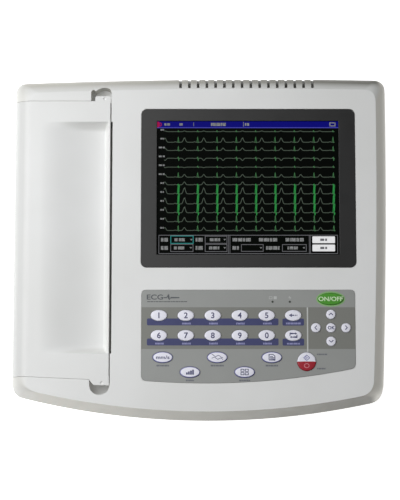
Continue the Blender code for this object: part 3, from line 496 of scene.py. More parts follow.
def rounded_rectangle(left, right, front, rear, radius, steps=8):
    quarter = math.pi / 2
    corners = (
        ((right - radius, front + radius), -quarter),
        ((right - radius, rear - radius), 0.0),
        ((left + radius, rear - radius), quarter),
        ((left + radius, front + radius), 2 * quarter),
    )
    outline = []
    for centre, start in corners:
        outline += arc(centre, radius, start, start + quarter, steps)
    return outline


def slab(rectangle, radius, low, high, steps=8):
    """A rounded rectangle, given by its edges, carried up from low to high."""
    return prism(rounded_rectangle(*rectangle, radius, steps), low, high)


def bend(start, middle, end, steps=10):
    """A rounded corner: a curve from start to end that leans towards the middle point."""
    points = []
    for i in range(steps + 1):
        t = i / steps
        weighted = list(zip(((1 - t) ** 2, 2 * t * (1 - t), t * t), (start, middle, end)))
        points.append(tuple(sum(weight * point[axis] for weight, point in weighted) for axis in (0, 1)))
    return points


def arc_drop(x, bow):
    """How far a bowed edge has fallen back, at a distance along it."""
    middle, radius = bow
    return radius - math.sqrt(radius**2 - (x - middle) ** 2)


def spread(curve, run, steps):
    """Points along a curve, evenly over a run of its parameter."""
    return [curve(run[0] + (run[1] - run[0]) * i / steps) for i in range(steps + 1)]


def grown(rectangle, by):
    left, right, front, rear = rectangle
    return (left - by, right + by, front - by, rear + by)


def stroke(points, width, low, high):
    """A drawn line: one flat bar for each stretch, with mitred joins."""
    half = width / 2
    sides = []
    for i, point in enumerate(points):
        before = points[max(i - 1, 0)]
        after = points[min(i + 1, len(points) - 1)]
        along = Vector((after[0] - before[0], after[1] - before[1])).normalized()
        here = Vector(point)
        across = Vector((-along.y, along.x))
        turn = 1.0
        if 0 < i < len(points) - 1:
            entering = (here - Vector(before)).normalized()
            turn = max(0.35, abs(across.dot(Vector((-entering.y, entering.x)))))
        sides.append((here + across * half / turn, here - across * half / turn))
    bars = []
    for (a, b), (c, d) in zip(sides, sides[1:]):
        bars.append(prism([tuple(b), tuple(d), tuple(c), tuple(a)], low, high))
    return merged(*bars)


def ring(centre, half_width, half_height, width, low, high, segments=40):
    outline = ellipse(centre, half_width, half_height, segments)
    return stroke([*outline, outline[0]], width, low, high)


def frame_lines(left, right, front, rear, width, low, high):
    """The outline of a rectangle, drawn just inside its edges."""
    return merged(
        block(left, right, rear - width, rear, low, high),
        block(left, right, front, front + width, low, high),
        block(left, left + width, front, rear, low, high),
        block(right - width, right, front, rear, low, high),
    )


def lettering(words, centre, height, low, high, stretch=1.0):
    """Digits or a plain word in the built-in typeface, centred, as raised print."""
    curve = bpy.data.curves.new("lettering", "FONT")
    curve.body = words
    curve.size = height / 0.70
    curve.align_x = "CENTER"
    curve.resolution_u = 4
    curve.offset = 0.02 * curve.size
    holder = placed("lettering", curve)
    mesh = evaluated(holder)
    bpy.data.objects.remove(holder)
    bpy.data.curves.remove(curve)
    bm = bmesh.new()
    bm.from_mesh(mesh)
    bpy.data.meshes.remove(mesh)
    thickened(bm, high - low)
    bm.transform(Matrix.Diagonal((stretch, 1.0, 1.0, 1.0)))
    bm.transform(Matrix.Translation((centre[0], centre[1] - height / 2, low)))
    return bm


def dashes(centre, width, height, low, high, count=5):
    """A stand-in for a tiny label: a short row of blunt dashes of uneven length."""
    shares = [0.7 + 0.3 * math.sin(2.1 * i + centre[0]) for i in range(count)]
    space = width * 0.12 / max(count - 1, 1)
    unit = (width - space * (count - 1)) / sum(shares)
    bars, left = [], centre[0] - width / 2
    for share in shares:
        right = left + unit * share
        bars.append(block(left, right, centre[1] - height / 2, centre[1] + height / 2, low, high))
        left = right + space
    return merged(*bars)


# ---- pieces ----

SHARP_ANGLE = 32.0
CUT, JOIN = "DIFFERENCE", "UNION"


def cad_corners(node):
    """The low and high corners of a CAD node's box, in millimetres."""
    return tuple(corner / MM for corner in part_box(node))


def shade(mesh):
    mesh.shade_smooth()
    mesh.set_sharp_from_angle(angle=math.radians(SHARP_ANGLE))


def piece(name, bm, looks, body="body", stands_for=(), matrix=DECK):
    """Makes a mesh into a piece that rides on a CAD body, in place of the CAD nodes it stands for."""
    bm.transform(Matrix.Scale(MM, 4))
    mesh = meshed(name, bm)
    for look in [looks] if isinstance(looks, str) else looks:
        mesh.materials.append(LOOKS[look].material)
    shade(mesh)
    ob = placed(name, mesh)
    ob.matrix_world = matrix
    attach(ob, body)
    if stands_for:
        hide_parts(*stands_for)
    return ob


def carve(ob, *steps):
    """Joins meshes to a piece or cuts them away, and keeps the result as its mesh."""
    tools = []
    for operation, bm in steps:
        bm.transform(Matrix.Scale(MM, 4))
        tool = placed("tool", meshed("tool", bm))
        tool.matrix_world = ob.matrix_world
        tools.append(tool)
        step = ob.modifiers.new("step", "BOOLEAN")
        step.operation = operation
        step.solver = "EXACT"
        step.object = tool
    mesh = evaluated(ob)
    ob.modifiers.clear()
    ob.data = mesh
    for tool in tools:
        bpy.data.objects.remove(tool)
    while len(mesh.materials) > 1:
        mesh.materials.pop()
    shade(mesh)


def soften(ob, width, segments=2):
    """Small moulding radii on every sharp edge."""
    edge = ob.modifiers.new("edge", "BEVEL")
    edge.width = width * MM
    edge.segments = segments
    edge.limit_method = "ANGLE"
    edge.angle_limit = math.radians(38.0)
    edge.harden_normals = False
    edge.miter_outer = "MITER_ARC"
    normals = ob.modifiers.new("normals", "WEIGHTED_NORMAL")
    normals.keep_sharp = True
    normals.weight = 80


def refined(node, look, body="body", width=0.25, segments=2):
    """The CAD node's own form with moulding radii on its edges."""
    bm = bmesh.new()
    bm.from_mesh(NODES[node].data)
    bmesh.ops.remove_doubles(bm, verts=bm.verts, dist=1e-6)
    bmesh.ops.dissolve_limit(bm, angle_limit=math.radians(0.5), verts=bm.verts, edges=bm.edges)
    bm.transform(Matrix.Scale(1 / MM, 4))
    soften(piece(f"fine_{node}", bm, look, body, (node,), UPRIGHT), width, segments)


# ---- the case ----


def case_outline(left_in, right_in, rear_in, front_in, rear_edge=REAR_EDGE, front_edge=FRONT_EDGE):
    """The case's outline, drawn in from each side by an amount; all but the left side bow outward."""
    left = -WIDTH / 2 + left_in
    rear_at = rear_edge - rear_in
    front_at = front_edge + front_in

    def rear(x):
        return (x, rear_at - arc_drop(x, REAR_ARC))

    def front(x):
        return (x, front_at + arc_drop(x, FRONT_ARC))

    def right(y):
        return (WIDTH / 2 - right_in - arc_drop(y, RIGHT_ARC), y)

    front_right, rear_right = front(right(front_at)[0]), rear(right(rear_at)[0])
    front_run = (left + CORNER["front_left"], front_right[0] - CORNER["front_right"])
    rear_run = (rear_right[0] - CORNER["rear_right"], left + CORNER["rear_left"])
    side_run = (front_right[1] + CORNER["front_right"], rear_right[1] - CORNER["rear_right"])
    points = spread(front, front_run, 48)
    points += bend(points[-1], front_right, right(side_run[0]))[1:]
    points += spread(right, side_run, 24)[1:]
    points += bend(points[-1], rear_right, rear(rear_run[0]))[1:]
    points += spread(rear, rear_run, 16)[1:]
    corner = rear(left)
    points += bend(points[-1], corner, (left, corner[1] - CORNER["rear_left"]))[1:]
    corner = front(left)
    points += bend((left, corner[1] + CORNER["front_left"]), corner, points[0])[:-1]
    return points


def left_shoulder(depth):
    """How far the round left shoulder has drawn in, at a depth below the deck."""
    if depth >= SHOULDER_LEFT:
        return 0.0
    return SHOULDER_LEFT - math.sqrt(SHOULDER_LEFT**2 - (SHOULDER_LEFT - depth) ** 2)


def top_body(wall):
    """The upper case's outer form, or with a wall thickness the hollow inside it."""
    rings = []
    for depth in SHOULDER_LEVELS:
        share = max(0.0, 1 - depth / SHOULDER_DEPTH) ** SHOULDER_POWER
        side = wall * (1 - 0.6 * share)
        low = -depth - wall * share - (wall if depth == LIP else 0.0)
        outline = case_outline(
            left_shoulder(depth) + side,
            SHOULDER_RIGHT * share + side,
            SHOULDER_REAR * share + side,
            FRONT_LEAN * (1 - depth / LIP) + side,
        )
        rings.append([(x, y, low) for x, y in outline])
    return loft(rings)


def front_seam(u):
    return COVER_FRONT - COVER_FRONT_SLANT * (u - COVER_RIGHT)


def cover_opening():
    outside = -WIDTH / 2 - 5.0
    edge = COVER_RIGHT + COVER_GAP
    outline = [
        (outside, front_seam(outside) - GAP),
        (edge, front_seam(edge) - GAP),
        (edge, COVER_REAR + GAP),
        (outside, COVER_REAR + GAP),
    ]
    return prism(outline, -LIP - 1.0, 1.0)


def rear_notch(edge):
    arch = bend((-98.7, 146.1), (-94.8, 150.0), (-90.6, 150.0), 12)
    arch += bend(arch[-1], (edge - 0.4, 150.0), (edge, 144.8), 12)[1:]
    side_slot = bend((-103.2, 145.4), (-101.4, 149.4), (-99.4, 146.6), 8)
    return [(edge, COVER_REAR - 0.6), *reversed(arch), *reversed(side_slot), (-103.2, COVER_REAR - 0.6)]


def front_notch(edge):
    sides = front_seam(edge) + 1.0
    scoop = arc((-93.5, -133.2), 9.4, math.pi, 2 * math.pi, 28)
    return [(-102.9, sides), *scoop, (edge, -133.2), (edge, sides)]


def overlay_outline(inset):
    left, right, front, rear = grown(OVERLAY, -inset)

    def edge(x):
        return (x, front + arc_drop(x, OVERLAY_ARC))

    radius = 4.7
    points = spread(edge, (left + radius, right - radius), 40)
    corner = edge(right)
    points += bend(points[-1], corner, (right, corner[1] + radius), 7)[1:]
    points += bend((right, rear - radius), (right, rear), (right - radius, rear), 7)
    points += bend((left + radius, rear), (left, rear), (left, rear - radius), 7)
    corner = edge(left)
    points += bend((left, corner[1] + radius), corner, points[0], 7)[:-1]
    return points


def vent_slots():
    middles = [VENT_FIRST + VENT_PITCH * i for i in range(16)]
    return merged(*[block(u - VENT_HALF, u + VENT_HALF, *VENT_RUN, -16.0, 2.0) for u in middles])


def make_upper_case():
    ob = piece("case_upper", top_body(0.0), "shell", "body", ("top_case",))
    boss = (HINGE[0] - 2.2, HINGE[0] + 4.8)
    blocks = merged(
        block(-107.0, -80.0, COVER_REAR - 1.0, 150.9, *NOTCH_BLOCK),
        block(-107.0, -80.0, -146.2, COVER_FRONT + 1.5, *NOTCH_BLOCK),
        block(*boss, COVER_REAR - 1.0, 144.5, 0.2 - LIP, HINGE[1] + 5.2),
        block(*boss, -132.4, COVER_FRONT + 6.0, 0.2 - LIP, HINGE[1] + 5.2),
    )
    edge = COVER_RIGHT + COVER_GAP
    carve(
        ob,
        (CUT, top_body(TOP_WALL)),
        (JOIN, blocks),
        (CUT, cover_opening()),
        (CUT, prism(rear_notch(edge), NOTCH_FLOOR, 2.0)),
        (CUT, prism(front_notch(edge), NOTCH_FLOOR, 2.0)),
        (CUT, rod(HINGE, COVER_REAR - 5.0, COVER_REAR + 6.5, HINGE_PIN + GAP)),
        (CUT, rod(HINGE, COVER_FRONT - 2.0, COVER_FRONT + 9.0, HINGE_PIN + GAP)),
        (CUT, block(COVER_RIGHT - 1.0, SLIT_RIGHT, *RECESS, -LIP, 2.0)),
        (CUT, slab(grown(BEZEL, GAP), BEZEL_RADIUS, -1.6, 2.0)),
        (CUT, slab(grown(BEZEL, -2.5), 3.0, -5.0, 2.0)),
        (CUT, prism(overlay_outline(-GAP), -1.2, 2.0)),
        (CUT, prism(overlay_outline(1.8), -5.0, 2.0)),
        (CUT, vent_slots()),
    )
    soften(ob, 0.3)


def parting_height(y):
    depth = LIP + GAP
    return DECK_HEIGHT - depth * SLOPE_COS + (y - depth * SLOPE_SIN) * math.tan(SLOPE)


def bottom_body(wall):
    """The lower case's outer form, or with a wall thickness the hollow inside it."""
    steps = (
        # side, rear and front draw-in, and the height over the table, or under the rim where negative
        (13.0, 12.0, 27.0, FOOT_HEIGHT),
        (10.5, 9.0, 21.5, FOOT_HEIGHT + 1.6),
        (9.3, 7.7, 19.3, FOOT_HEIGHT + 3.1),
        (8.6, 7.0, 18.0, FOOT_HEIGHT + 5.0),
        (5.0, 5.0, 6.0, -4.0),
        (2.0, 2.0, 2.0, 0.0),
    )
    rings = []
    for side, rear, front, height in steps:
        outline = case_outline(side + wall, side + wall, rear + wall, front + wall, DEPTH / 2, -DEPTH / 2)
        if height > 0.0:
            rings.append([(x, y, height + wall) for x, y in outline])
        else:
            above = wall if height == 0.0 else 0.0
            rings.append([(x, y, parting_height(y) + height + above) for x, y in outline])
    return loft(rings)


def opening_box(node, grow, axis):
    """A cutter a little larger than a fitting, carried out through the wall along one axis."""
    low, high = cad_corners(node)
    low, high = low - Vector((grow,) * 3), high + Vector((grow,) * 3)
    high[axis] += 14.0
    low[axis] -= 6.0
    return block(low.x, high.x, low.y, high.y, low.z, high.z)


def make_lower_case():
    ob = piece("case_lower", bottom_body(0.0), "lower", "body", ("bottom_case",), UPRIGHT)
    low, high = cad_corners("battery_hatch")
    hatch = (low.x, high.x, low.y, high.y)
    low, high = cad_corners("earth_terminal")
    earth_at = ((low.x + high.x) / 2, (low.z + high.z) / 2)
    slots = [slab((x - 1.3, x + 1.3, 30.0, 62.0), 1.2, 0.0, 9.0, 4) for x in range(-124, -59, 8)]
    carve(
        ob,
        (CUT, bottom_body(BOTTOM_WALL)),
        (CUT, slab(grown(hatch, GAP), 4.0, 2.0, 8.0)),
        (CUT, opening_box("mains_inlet", GAP, 1)),
        (CUT, opening_box("mains_switch", 0.6, 1)),
        (CUT, opening_box("patient_connector", GAP, 0)),
        (CUT, opening_box("data_port", GAP, 0)),
        (CUT, rod(earth_at, 140.0, 167.0, 3.3)),
        (CUT, merged(*slots)),
    )
    soften(ob, 0.4)


# ---- the paper cover ----


def recess_profile():
    """Across the cover from its lip to the left shoulder: u, and the share of the full recess depth."""
    profile = [(COVER_RIGHT - reach, share) for reach, share in RECESS_LIP]
    start = profile[-1][0]
    for i in range(1, 33):
        rise = 0.5 + 0.5 * math.cos(math.pi * i / 32)
        profile.append((start - RECESS_SCOOP * i / 32, rise**0.9 if i < 32 else 0.0))
    return profile


def end_wall(depth, steps=16):
    """Down the recess's end wall, a scoop that is steep at its edge: how far in, and how deep."""
    slope = 2 * depth / RECESS_END
    fillet = RECESS_FILLET
    points = [(reach, slope * (reach + fillet) ** 2 / (4 * fillet)) for reach in (-0.4, -0.2, 0.0, 0.2)]
    for i in range(steps - 3):
        reach = RECESS_FILLET + (RECESS_END - RECESS_FILLET) * (i / (steps - 4)) ** 1.3
        points.append((reach, depth * (1 - (1 - reach / RECESS_END) ** 2)))
    return points


def cover_mesh():
    """The cover as one closed loft: each row runs along the outside from the lip to the left edge and
    back along the inside."""
    left_centre = -WIDTH / 2 + SHOULDER_LEFT
    outer_round = arc((left_centre, -SHOULDER_LEFT), SHOULDER_LEFT, math.pi / 2, math.pi, 20)
    inner_round = arc((left_centre, -SHOULDER_LEFT), SHOULDER_LEFT - COVER_WALL, math.pi / 2, math.pi, 20)
    profile = recess_profile()
    edge_round = arc((COVER_RIGHT - 0.8, -0.8), 0.8, 0.0, math.pi / 2, 6)
    foot = -SHOULDER_LEFT - 2.6
    section = [(COVER_RIGHT, -FLANGE_DEPTH, 0.0), *[(u, w, 0.0) for u, w in edge_round]]
    section += [(u, 0.0, share) for u, share in profile]
    section += [(u, w, 0.0) for u, w in outer_round]
    section += [(-WIDTH / 2, foot, 0.0), (-WIDTH / 2 + COVER_WALL, foot, 0.0)]
    section += [(u, w, 0.0) for u, w in reversed(inner_round)]
    section += [(u, -COVER_WALL, share) for u, share in reversed(profile[8:])]
    section += [(COVER_RIGHT - COVER_WALL, -COVER_WALL, 1.0), (COVER_RIGHT - COVER_WALL, -FLANGE_DEPTH, 0.0)]
    columns = []
    for u, w, share in section:
        wall = end_wall(RECESS_DEPTH * share)
        column = [(u, front_seam(u), w)]
        column += [(u, RECESS[0] + reach, w - depth) for reach, depth in wall]
        column += [(u, RECESS[1] - reach, w - depth) for reach, depth in reversed(wall)]
        column.append((u, COVER_REAR, w))
        columns.append(column)
    return loft([list(row) for row in zip(*columns)], quads=True)


def ear_plate(front, rear):
    outline = [(PLATEN[0] - 7.0, -1.0), (PLATEN[0] - 7.0, PLATEN[1])]
    outline += arc(PLATEN, 7.0, math.pi, 2 * math.pi, 24)[1:]
    outline += [(COVER_RIGHT - 0.4, -1.0)]
    return side_prism(outline, front, rear)


def dimple(centre):
    levels = ((0.5, -0.74), (0.9, -0.62), (1.25, -0.34), (1.5, 0.0), (1.6, 0.5))
    return loft([[(x, y, w) for x, y in ellipse(centre, r, r, 24)] for r, w in levels])


def make_cover():
    ob = piece("cover_shell", cover_mesh(), "cover", "cover", ("paper_cover",))
    edge = COVER_RIGHT - 0.05
    front_tab = [(-103.4, -125.0), (-102.6, -129.0), (-98.9, -133.4), (edge, -133.7), (edge, -125.0)]
    rear_tab = rounded_rectangle(-99.2, edge, COVER_REAR - 3.0, 141.4, 1.6, 6)
    front_end = front_seam(HINGE[0])
    carve(
        ob,
        (JOIN, rod(HINGE, front_end + 0.02, COVER_REAR - 0.02, HINGE_BEAD)),
        (JOIN, ear_plate(116.8, 118.8)),
        (JOIN, ear_plate(-106.2, -104.2)),
        (JOIN, prism(rear_tab, -2.6, -0.04)),
        (JOIN, prism(front_tab, -2.6, -0.04)),
        (CUT, rod(HINGE, COVER_REAR - 8.0, COVER_REAR + 2.0, HINGE_PIN + 0.1)),
        (CUT, rod(HINGE, front_end - 2.0, front_end + 8.0, HINGE_PIN + 0.1)),
        (CUT, rod(PLATEN, -112.0, 125.0, BUSH_RADIUS + 0.1, 40)),
        (CUT, dimple((-90.3, 138.7))),
        (CUT, dimple((-91.3, -131.3))),
    )
    soften(ob, 0.3)


# ---- display ----


def make_display():
    sheet = slab(BEZEL, BEZEL_RADIUS, -1.3, 0.0, 10)
    ob = piece("display_frame", sheet, "bezel", "body", ("display_bezel",))
    carve(ob, (CUT, slab(SCREEN, 0.6, -4.0, 2.0, 4)))
    soften(ob, 0.35, 3)
    panel = merged(
        slab((-50.0, 139.0, -18.5, 124.5), 2.0, -9.5, -4.0, 4),
        slab((-48.0, 137.0, -16.5, 122.5), 1.0, -4.0, PANEL_FACE, 4),
    )
    ob = piece("display_face", panel, "face", "body", ("lcd_panel",))
    soften(ob, 0.3)
    make_picture()


# One row of the picture for each lead: how far the line lies under its label, the beat's rise and fall,
# and the height of the bump after it
LEADS = (
    (1.8, 0.9, 0.3, 0.7),
    (3.5, 5.0, 0.6, 4.2),
    (2.9, 3.9, 0.6, 2.4),
    (1.8, 1.2, 2.4, -2.2),
    (1.8, 0.8, 0.6, -0.5),
    (2.9, 4.2, 0.6, 2.6),
    (1.7, 0.8, 8.6, 2.8),
    (1.8, 7.6, 8.6, 5.8),
    (2.9, 8.2, 6.8, 5.8),
    (2.8, 8.0, 2.4, 5.4),
    (2.8, 6.0, 1.2, 4.0),
    (2.6, 4.6, 0.8, 2.9),
)
LEAD_TOP, LEAD_PITCH = 109.2, 8.56
BEAT_FIRST, BEAT_PITCH, BEATS = -20.75, 18.2, 9
TRACE_LEFT, TRACE_RIGHT = -34.2, 126.4


def lead_line(base, bump):
    """One lead's line without its beats: flat, with a small bump before each beat and a larger after."""
    points = []
    for i in range(int((TRACE_RIGHT - TRACE_LEFT) / 0.6) + 1):
        u = TRACE_LEFT + 0.6 * i
        since = (u - BEAT_FIRST) % BEAT_PITCH
        after = math.exp(-(((since - 5.6) / 1.35) ** 2))
        before = 0.12 * math.exp(-(((since - BEAT_PITCH + 3.0) / 0.9) ** 2))
        points.append((u, base + bump * (after + before)))
    return points


def make_picture():
    low, high = PANEL_FACE + 0.02, PANEL_FACE + 0.08
    flat, over = (low, high), (low + 0.02, high + 0.02)
    lines, tall, small, labels = [], [], [], []
    for row, (drop, rise, fall, bump) in enumerate(LEADS):
        label = LEAD_TOP - LEAD_PITCH * row
        base = label - drop
        lines.append(stroke(lead_line(base, bump), 0.62, *flat))
        for beat in range(BEATS):
            u = BEAT_FIRST + BEAT_PITCH * beat
            peak = [(u - 0.9, base), (u - 0.25, base + rise), (u + 0.45, base - fall), (u + 1.0, base)]
            group, width = (tall, 0.7) if 6 <= row <= 9 else (small, 0.55)
            lift = 0.01 * (row % 2)  # beats of neighbouring rows overlap
            group.append(stroke(peak, width, over[0] + lift, over[1] + lift))
        name_at, name_width = (-36.4, 5.6) if 2 <= row <= 5 else (-36.0, 3.4)
        labels.append(dashes((name_at, label), name_width, 1.5, *flat, 2))
    piece("picture_lines", merged(*lines), "trace")
    piece("picture_beats", merged(*tall), "beat")
    piece("picture_small_beats", merged(*small), "soft_beat")
    left, right, _, rear = grown(SCREEN, -0.2)
    bar_front = rear - 6.1
    piece("picture_bar", block(left, right, bar_front, rear, *flat), "bar")
    edge = block(left, right, bar_front - 0.35, bar_front + 0.35, *over)
    piece("picture_bar_edge", edge, "bar_edge")
    alarm = merged(
        block(left, left + 2.0, bar_front + 0.3, rear - 0.3, *over),
        ring((left + 3.0, rear - 3.0), 0.9, 1.5, 0.7, *over, 20),
    )
    piece("picture_alarm", alarm, "alarm")
    middle = rear - 2.9
    texts = [
        dashes((-31.4, middle), 5.2, 2.2, *over, 2),
        dashes((-18.3, middle), 3.0, 2.2, *over, 1),
        block(-6.7, -6.2, middle - 1.8, middle + 1.8, *over),
        dashes((16.8, middle), 14.0, 3.0, *over, 5),
        block(40.2, 40.7, middle - 2.4, middle + 2.4, *over),
        dashes((43.8, middle), 4.0, 2.6, *over, 2),
        frame_lines(121.4, 127.2, middle - 1.9, middle + 1.9, 0.9, *over),
    ]
    rows = (3.6, -4.2)
    boxes, buttons, marks = [], [], []
    for v in rows:
        labels.append(dashes((-33.7, v), 6.4, 3.6, *flat, 2))
        labels.append(dashes((-1.3, v), 6.6, 3.6, *flat, 2))
        boxes.append(frame_lines(4.1, 25.0, v - 3.7, v + 3.7, 0.55, *flat))
        buttons.append(slab((104.5, 125.6, v - 3.2, v + 3.2), 0.6, *flat, 3))
        marks.append(dashes((115.0, v), 6.4, 2.2, high, high + 0.03, 2))
    boxes.append(frame_lines(-28.1, -6.7, rows[1] - 3.7, rows[1] + 3.7, 0.55, *flat))
    for box_left, box_right in ((37.9, 58.8), (76.2, 99.0)):
        boxes.append(frame_lines(box_left, box_right, rows[1] - 3.5, rows[1] + 3.5, 0.55, *flat))
    for u in (-38.9, 26.1, 27.5, 101.6, 102.6, 128.0):
        boxes.append(block(u - 0.25, u + 0.25, -9.4, 7.8, *flat))
    for v in (7.9, -9.5):
        boxes.append(block(-38.9, 128.2, v - 0.28, v + 0.28, *flat))
    for row, u, words in ((0, -19.5, 2), (1, -20.0, 2), (0, 13.5, 3), (1, 12.8, 3), (1, 86.0, 3)):
        labels.append(dashes((u, rows[row]), 9.6, 2.8, *flat, words))
    for u in (38.4, 63.1, 87.9):
        labels.append(dashes((u, rows[0]), 17.0, 3.2, *flat, 4))
    labels.append(dashes((32.8, rows[1]), 6.0, 3.4, *flat, 2))
    labels.append(dashes((67.5, rows[1]), 12.6, 3.2, *flat, 4))
    for row, u in ((0, -8.6), (1, -9.0), (0, 22.6), (1, 22.6), (1, 56.4), (1, 96.6)):
        v = rows[row]
        labels.append(prism([(u - 1.2, v + 0.8), (u, v - 0.8), (u + 1.2, v + 0.8)], *flat))
    piece("picture_labels", merged(*labels, *texts), "text")
    piece("picture_boxes", merged(*boxes), "frame_line")
    choice = frame_lines(-28.1, -6.5, rows[0] - 3.8, rows[0] + 4.0, 0.7, *over)
    piece("picture_choice", choice, "teal")
    piece("picture_buttons", merged(*buttons), "button")
    piece("picture_button_marks", merged(*marks), "frame_line")


# ---- keypad ----


def key_list():
    """Each key's name, centre, half sizes and looks."""
    keys = []
    for i in range(10):
        row, column = divmod(i, 5)
        centre = (NUMBER_LEFT + NUMBER_PITCH * column, NUMBER_ROWS[row])
        keys.append((f"number_{(i + 1) % 10}", centre, NUMBER_HALF, "key"))
    for name, row in zip(("backspace", "shift"), NUMBER_ROWS):
        keys.append((name, (EDIT_COLUMN, row), NUMBER_HALF, "key"))
    for i, name in enumerate(FUNCTION_KEYS):
        centre = (FUNCTION_LEFT + FUNCTION_PITCH * i, FUNCTION_ROWS[i % 2])
        keys.append((name, centre, FUNCTION_HALF, "key"))
    for name, x, y in (("up", 0, 1), ("down", 0, -1), ("left", -1, 0), ("right", 1, 0), ("confirm", 0, 0)):
        centre = (ARROWS[0] + ARROW_REACH[0] * x, ARROWS[1] + ARROW_REACH[1] * y)
        keys.append((name, centre, (4.4, 4.4), "key"))
    keys.append(("power", POWER_AT, (11.9, 5.6), "green"))
    keys.append(("start_stop", START_AT, (8.6, 8.6), "key"))
    return keys


def crown(centre, half, border=0.0):
    """A key: a collar under the film, straight sides and a softly crowned top. Its border, where it has
    one, takes the piece's second material."""
    levels = [(1.0, KEY_FOOT), (1.0, KEY_FOOT + 1.0), (0.0, KEY_FOOT + 1.0), (0.0, 0.35)]
    levels += [(-0.9 + 0.9 * math.cos(a), 0.35 + 0.8 * math.sin(a)) for a in (0.35, 0.7, 1.05, 1.35)]
    levels += [(-1.1, 1.17), (-1.6, 1.22), (-2.4, 1.29), (-3.2, 1.34)]
    ovals = [(half[0] + grow, half[1] + grow, w) for grow, w in levels]
    ovals.append((0.5 * (half[0] - 3.2), 0.5 * (half[1] - 3.2), KEY_TOP - 0.02))
    rings = [[(x, y, w) for x, y in ellipse(centre, wide, tall, 48)] for wide, tall, w in ovals]
    bm = loft(rings, quads=True)
    for face in bm.faces:
        middle = face.calc_center_median()
        away = (middle.x - centre[0], middle.y - centre[1])
        reach = math.hypot(away[0] / (half[0] - border), away[1] / (half[1] - border))
        if border and reach > 1.0 and len(face.verts) == 4:
            face.material_index = 1
    return bm


def chevron(centre, turn, span):
    """An arrow key's open arrowhead."""
    c, s = math.cos(turn), math.sin(turn)
    points = [(-0.8, -1.9), (1.0, 0.0), (-0.8, 1.9)]
    placed = [(centre[0] + c * x - s * y, centre[1] + s * x + c * y) for x, y in points]
    return stroke(placed, 0.75, *span)


def icon(name, centre, span):
    """The mark on a key, as printed shapes between two heights."""
    x, y = centre

    def line(*points, width=0.5):
        return stroke([(x + a, y + b) for a, b in points], width, *span)

    def bar(left, right, front, rear):
        return block(x + left, x + right, y + front, y + rear, *span)

    if name.startswith("number_"):
        return lettering(name[-1], centre, 5.2, *span)
    if name == "backspace":
        head = prism([(x - 4.2, y), (x - 1.4, y - 1.6), (x - 1.4, y + 1.6)], *span)
        return merged(head, bar(-1.6, 0.9, -0.5, 0.5), bar(1.5, 2.4, -0.5, 0.5), bar(3.0, 3.7, -0.5, 0.5))
    if name == "shift":
        upper = line((-3.2, -0.6), (-3.2, 1.7), (1.8, 1.7), width=0.75)
        lower = line((3.2, 0.6), (3.2, -1.7), (-1.8, -1.7), width=0.75)
        heads = [
            prism([(x + 1.6, y + 0.5), (x + 3.4, y + 1.7), (x + 1.6, y + 2.7)], *span),
            prism([(x - 1.6, y - 2.7), (x - 1.6, y - 0.5), (x - 3.4, y - 1.7)], *span),
        ]
        return merged(upper, lower, *heads)
    if name == "speed":
        return lettering("mm/s", centre, 3.0, *span, 1.35)
    if name == "gain":
        return merged(*[bar(-3.6 + 1.9 * i, -2.1 + 1.9 * i, -2.4, -0.4 + 0.85 * i) for i in range(4)])
    if name == "filter":
        waves = []
        for shift in (-1.1, 1.1):
            heights = [shift + 0.7 * math.sin(0.42 * i + shift) - 0.06 * i + 0.8 for i in range(27)]
            waves.append(line(*[(-5.2 + 0.4 * i, height) for i, height in enumerate(heights)]))
        return merged(*waves)
    if name == "layout":
        spots = [(x + a, y + b) for a in (-2.0, 2.0) for b in (-1.6, 1.6)]
        return merged(*[frame_lines(a - 1.7, a + 1.7, b - 1.3, b + 1.3, 0.6, *span) for a, b in spots])
    if name == "report":
        sheet = line((-2.6, -2.6), (-2.6, 2.6), (1.0, 2.6), (2.8, 1.0), (2.8, -2.6), (-2.6, -2.6), width=0.7)
        rows = ((1.2, 0.3), (2.2, -0.8), (2.2, -1.9))
        return merged(sheet, *[bar(-1.8, right, front, front + 0.6) for right, front in rows])
    if name == "confirm":
        return lettering("OK", centre, 3.0, *span)
    if name == "power":
        return lettering("ON/OFF", centre, 4.0, *span, 1.1)
    if name == "start_stop":
        points = ((-2.8, 3.4), (0.0, 6.0), (2.8, 3.4), (0.0, 0.9), (-2.8, 3.4))
        start = line((-0.8, 4.6), (-0.8, 2.2), (1.0, 3.4), (-0.8, 4.6), width=0.4)
        return merged(line(*points, width=0.6), start)
    turns = {"right": 0.0, "up": math.pi / 2, "left": math.pi, "down": -math.pi / 2}
    return chevron(centre, turns[name], span)


def make_keys(keys):
    for name, centre, half, look in keys:
        body = f"key_{name}"
        bordered = name in FUNCTION_KEYS
        looks = [look, "key_rim"] if bordered else [look]
        if name == "start_stop":
            looks = ["key", "red"]
        bm = crown(centre, half, 0.9 if bordered else 0.0)
        if name == "start_stop":
            whole = [*bm.verts, *bm.edges, *bm.faces]
            bmesh.ops.bisect_plane(bm, geom=whole, plane_co=(0, centre[1], 0), plane_no=(0, 1, 0))
            for face in bm.faces:
                if face.calc_center_median().y < centre[1]:
                    face.material_index = 1
        piece(f"cap_{name}", bm, looks, body, (body,))
        print_look = {"power": "lime_print", "confirm": "indigo", "start_stop": "key_rim"}.get(name, "digit")
        if bordered:
            print_look = "indigo"
        piece(f"mark_{name}", icon(name, centre, (KEY_TOP - 0.17, KEY_TOP + 0.02)), print_look, body)
    stop = ring((START_AT[0], START_AT[1] - 3.9), 2.2, 1.9, 0.6, KEY_TOP - 0.2, KEY_TOP + 0.02, 24)
    piece("mark_stop", stop, "pink_print", "key_start_stop")


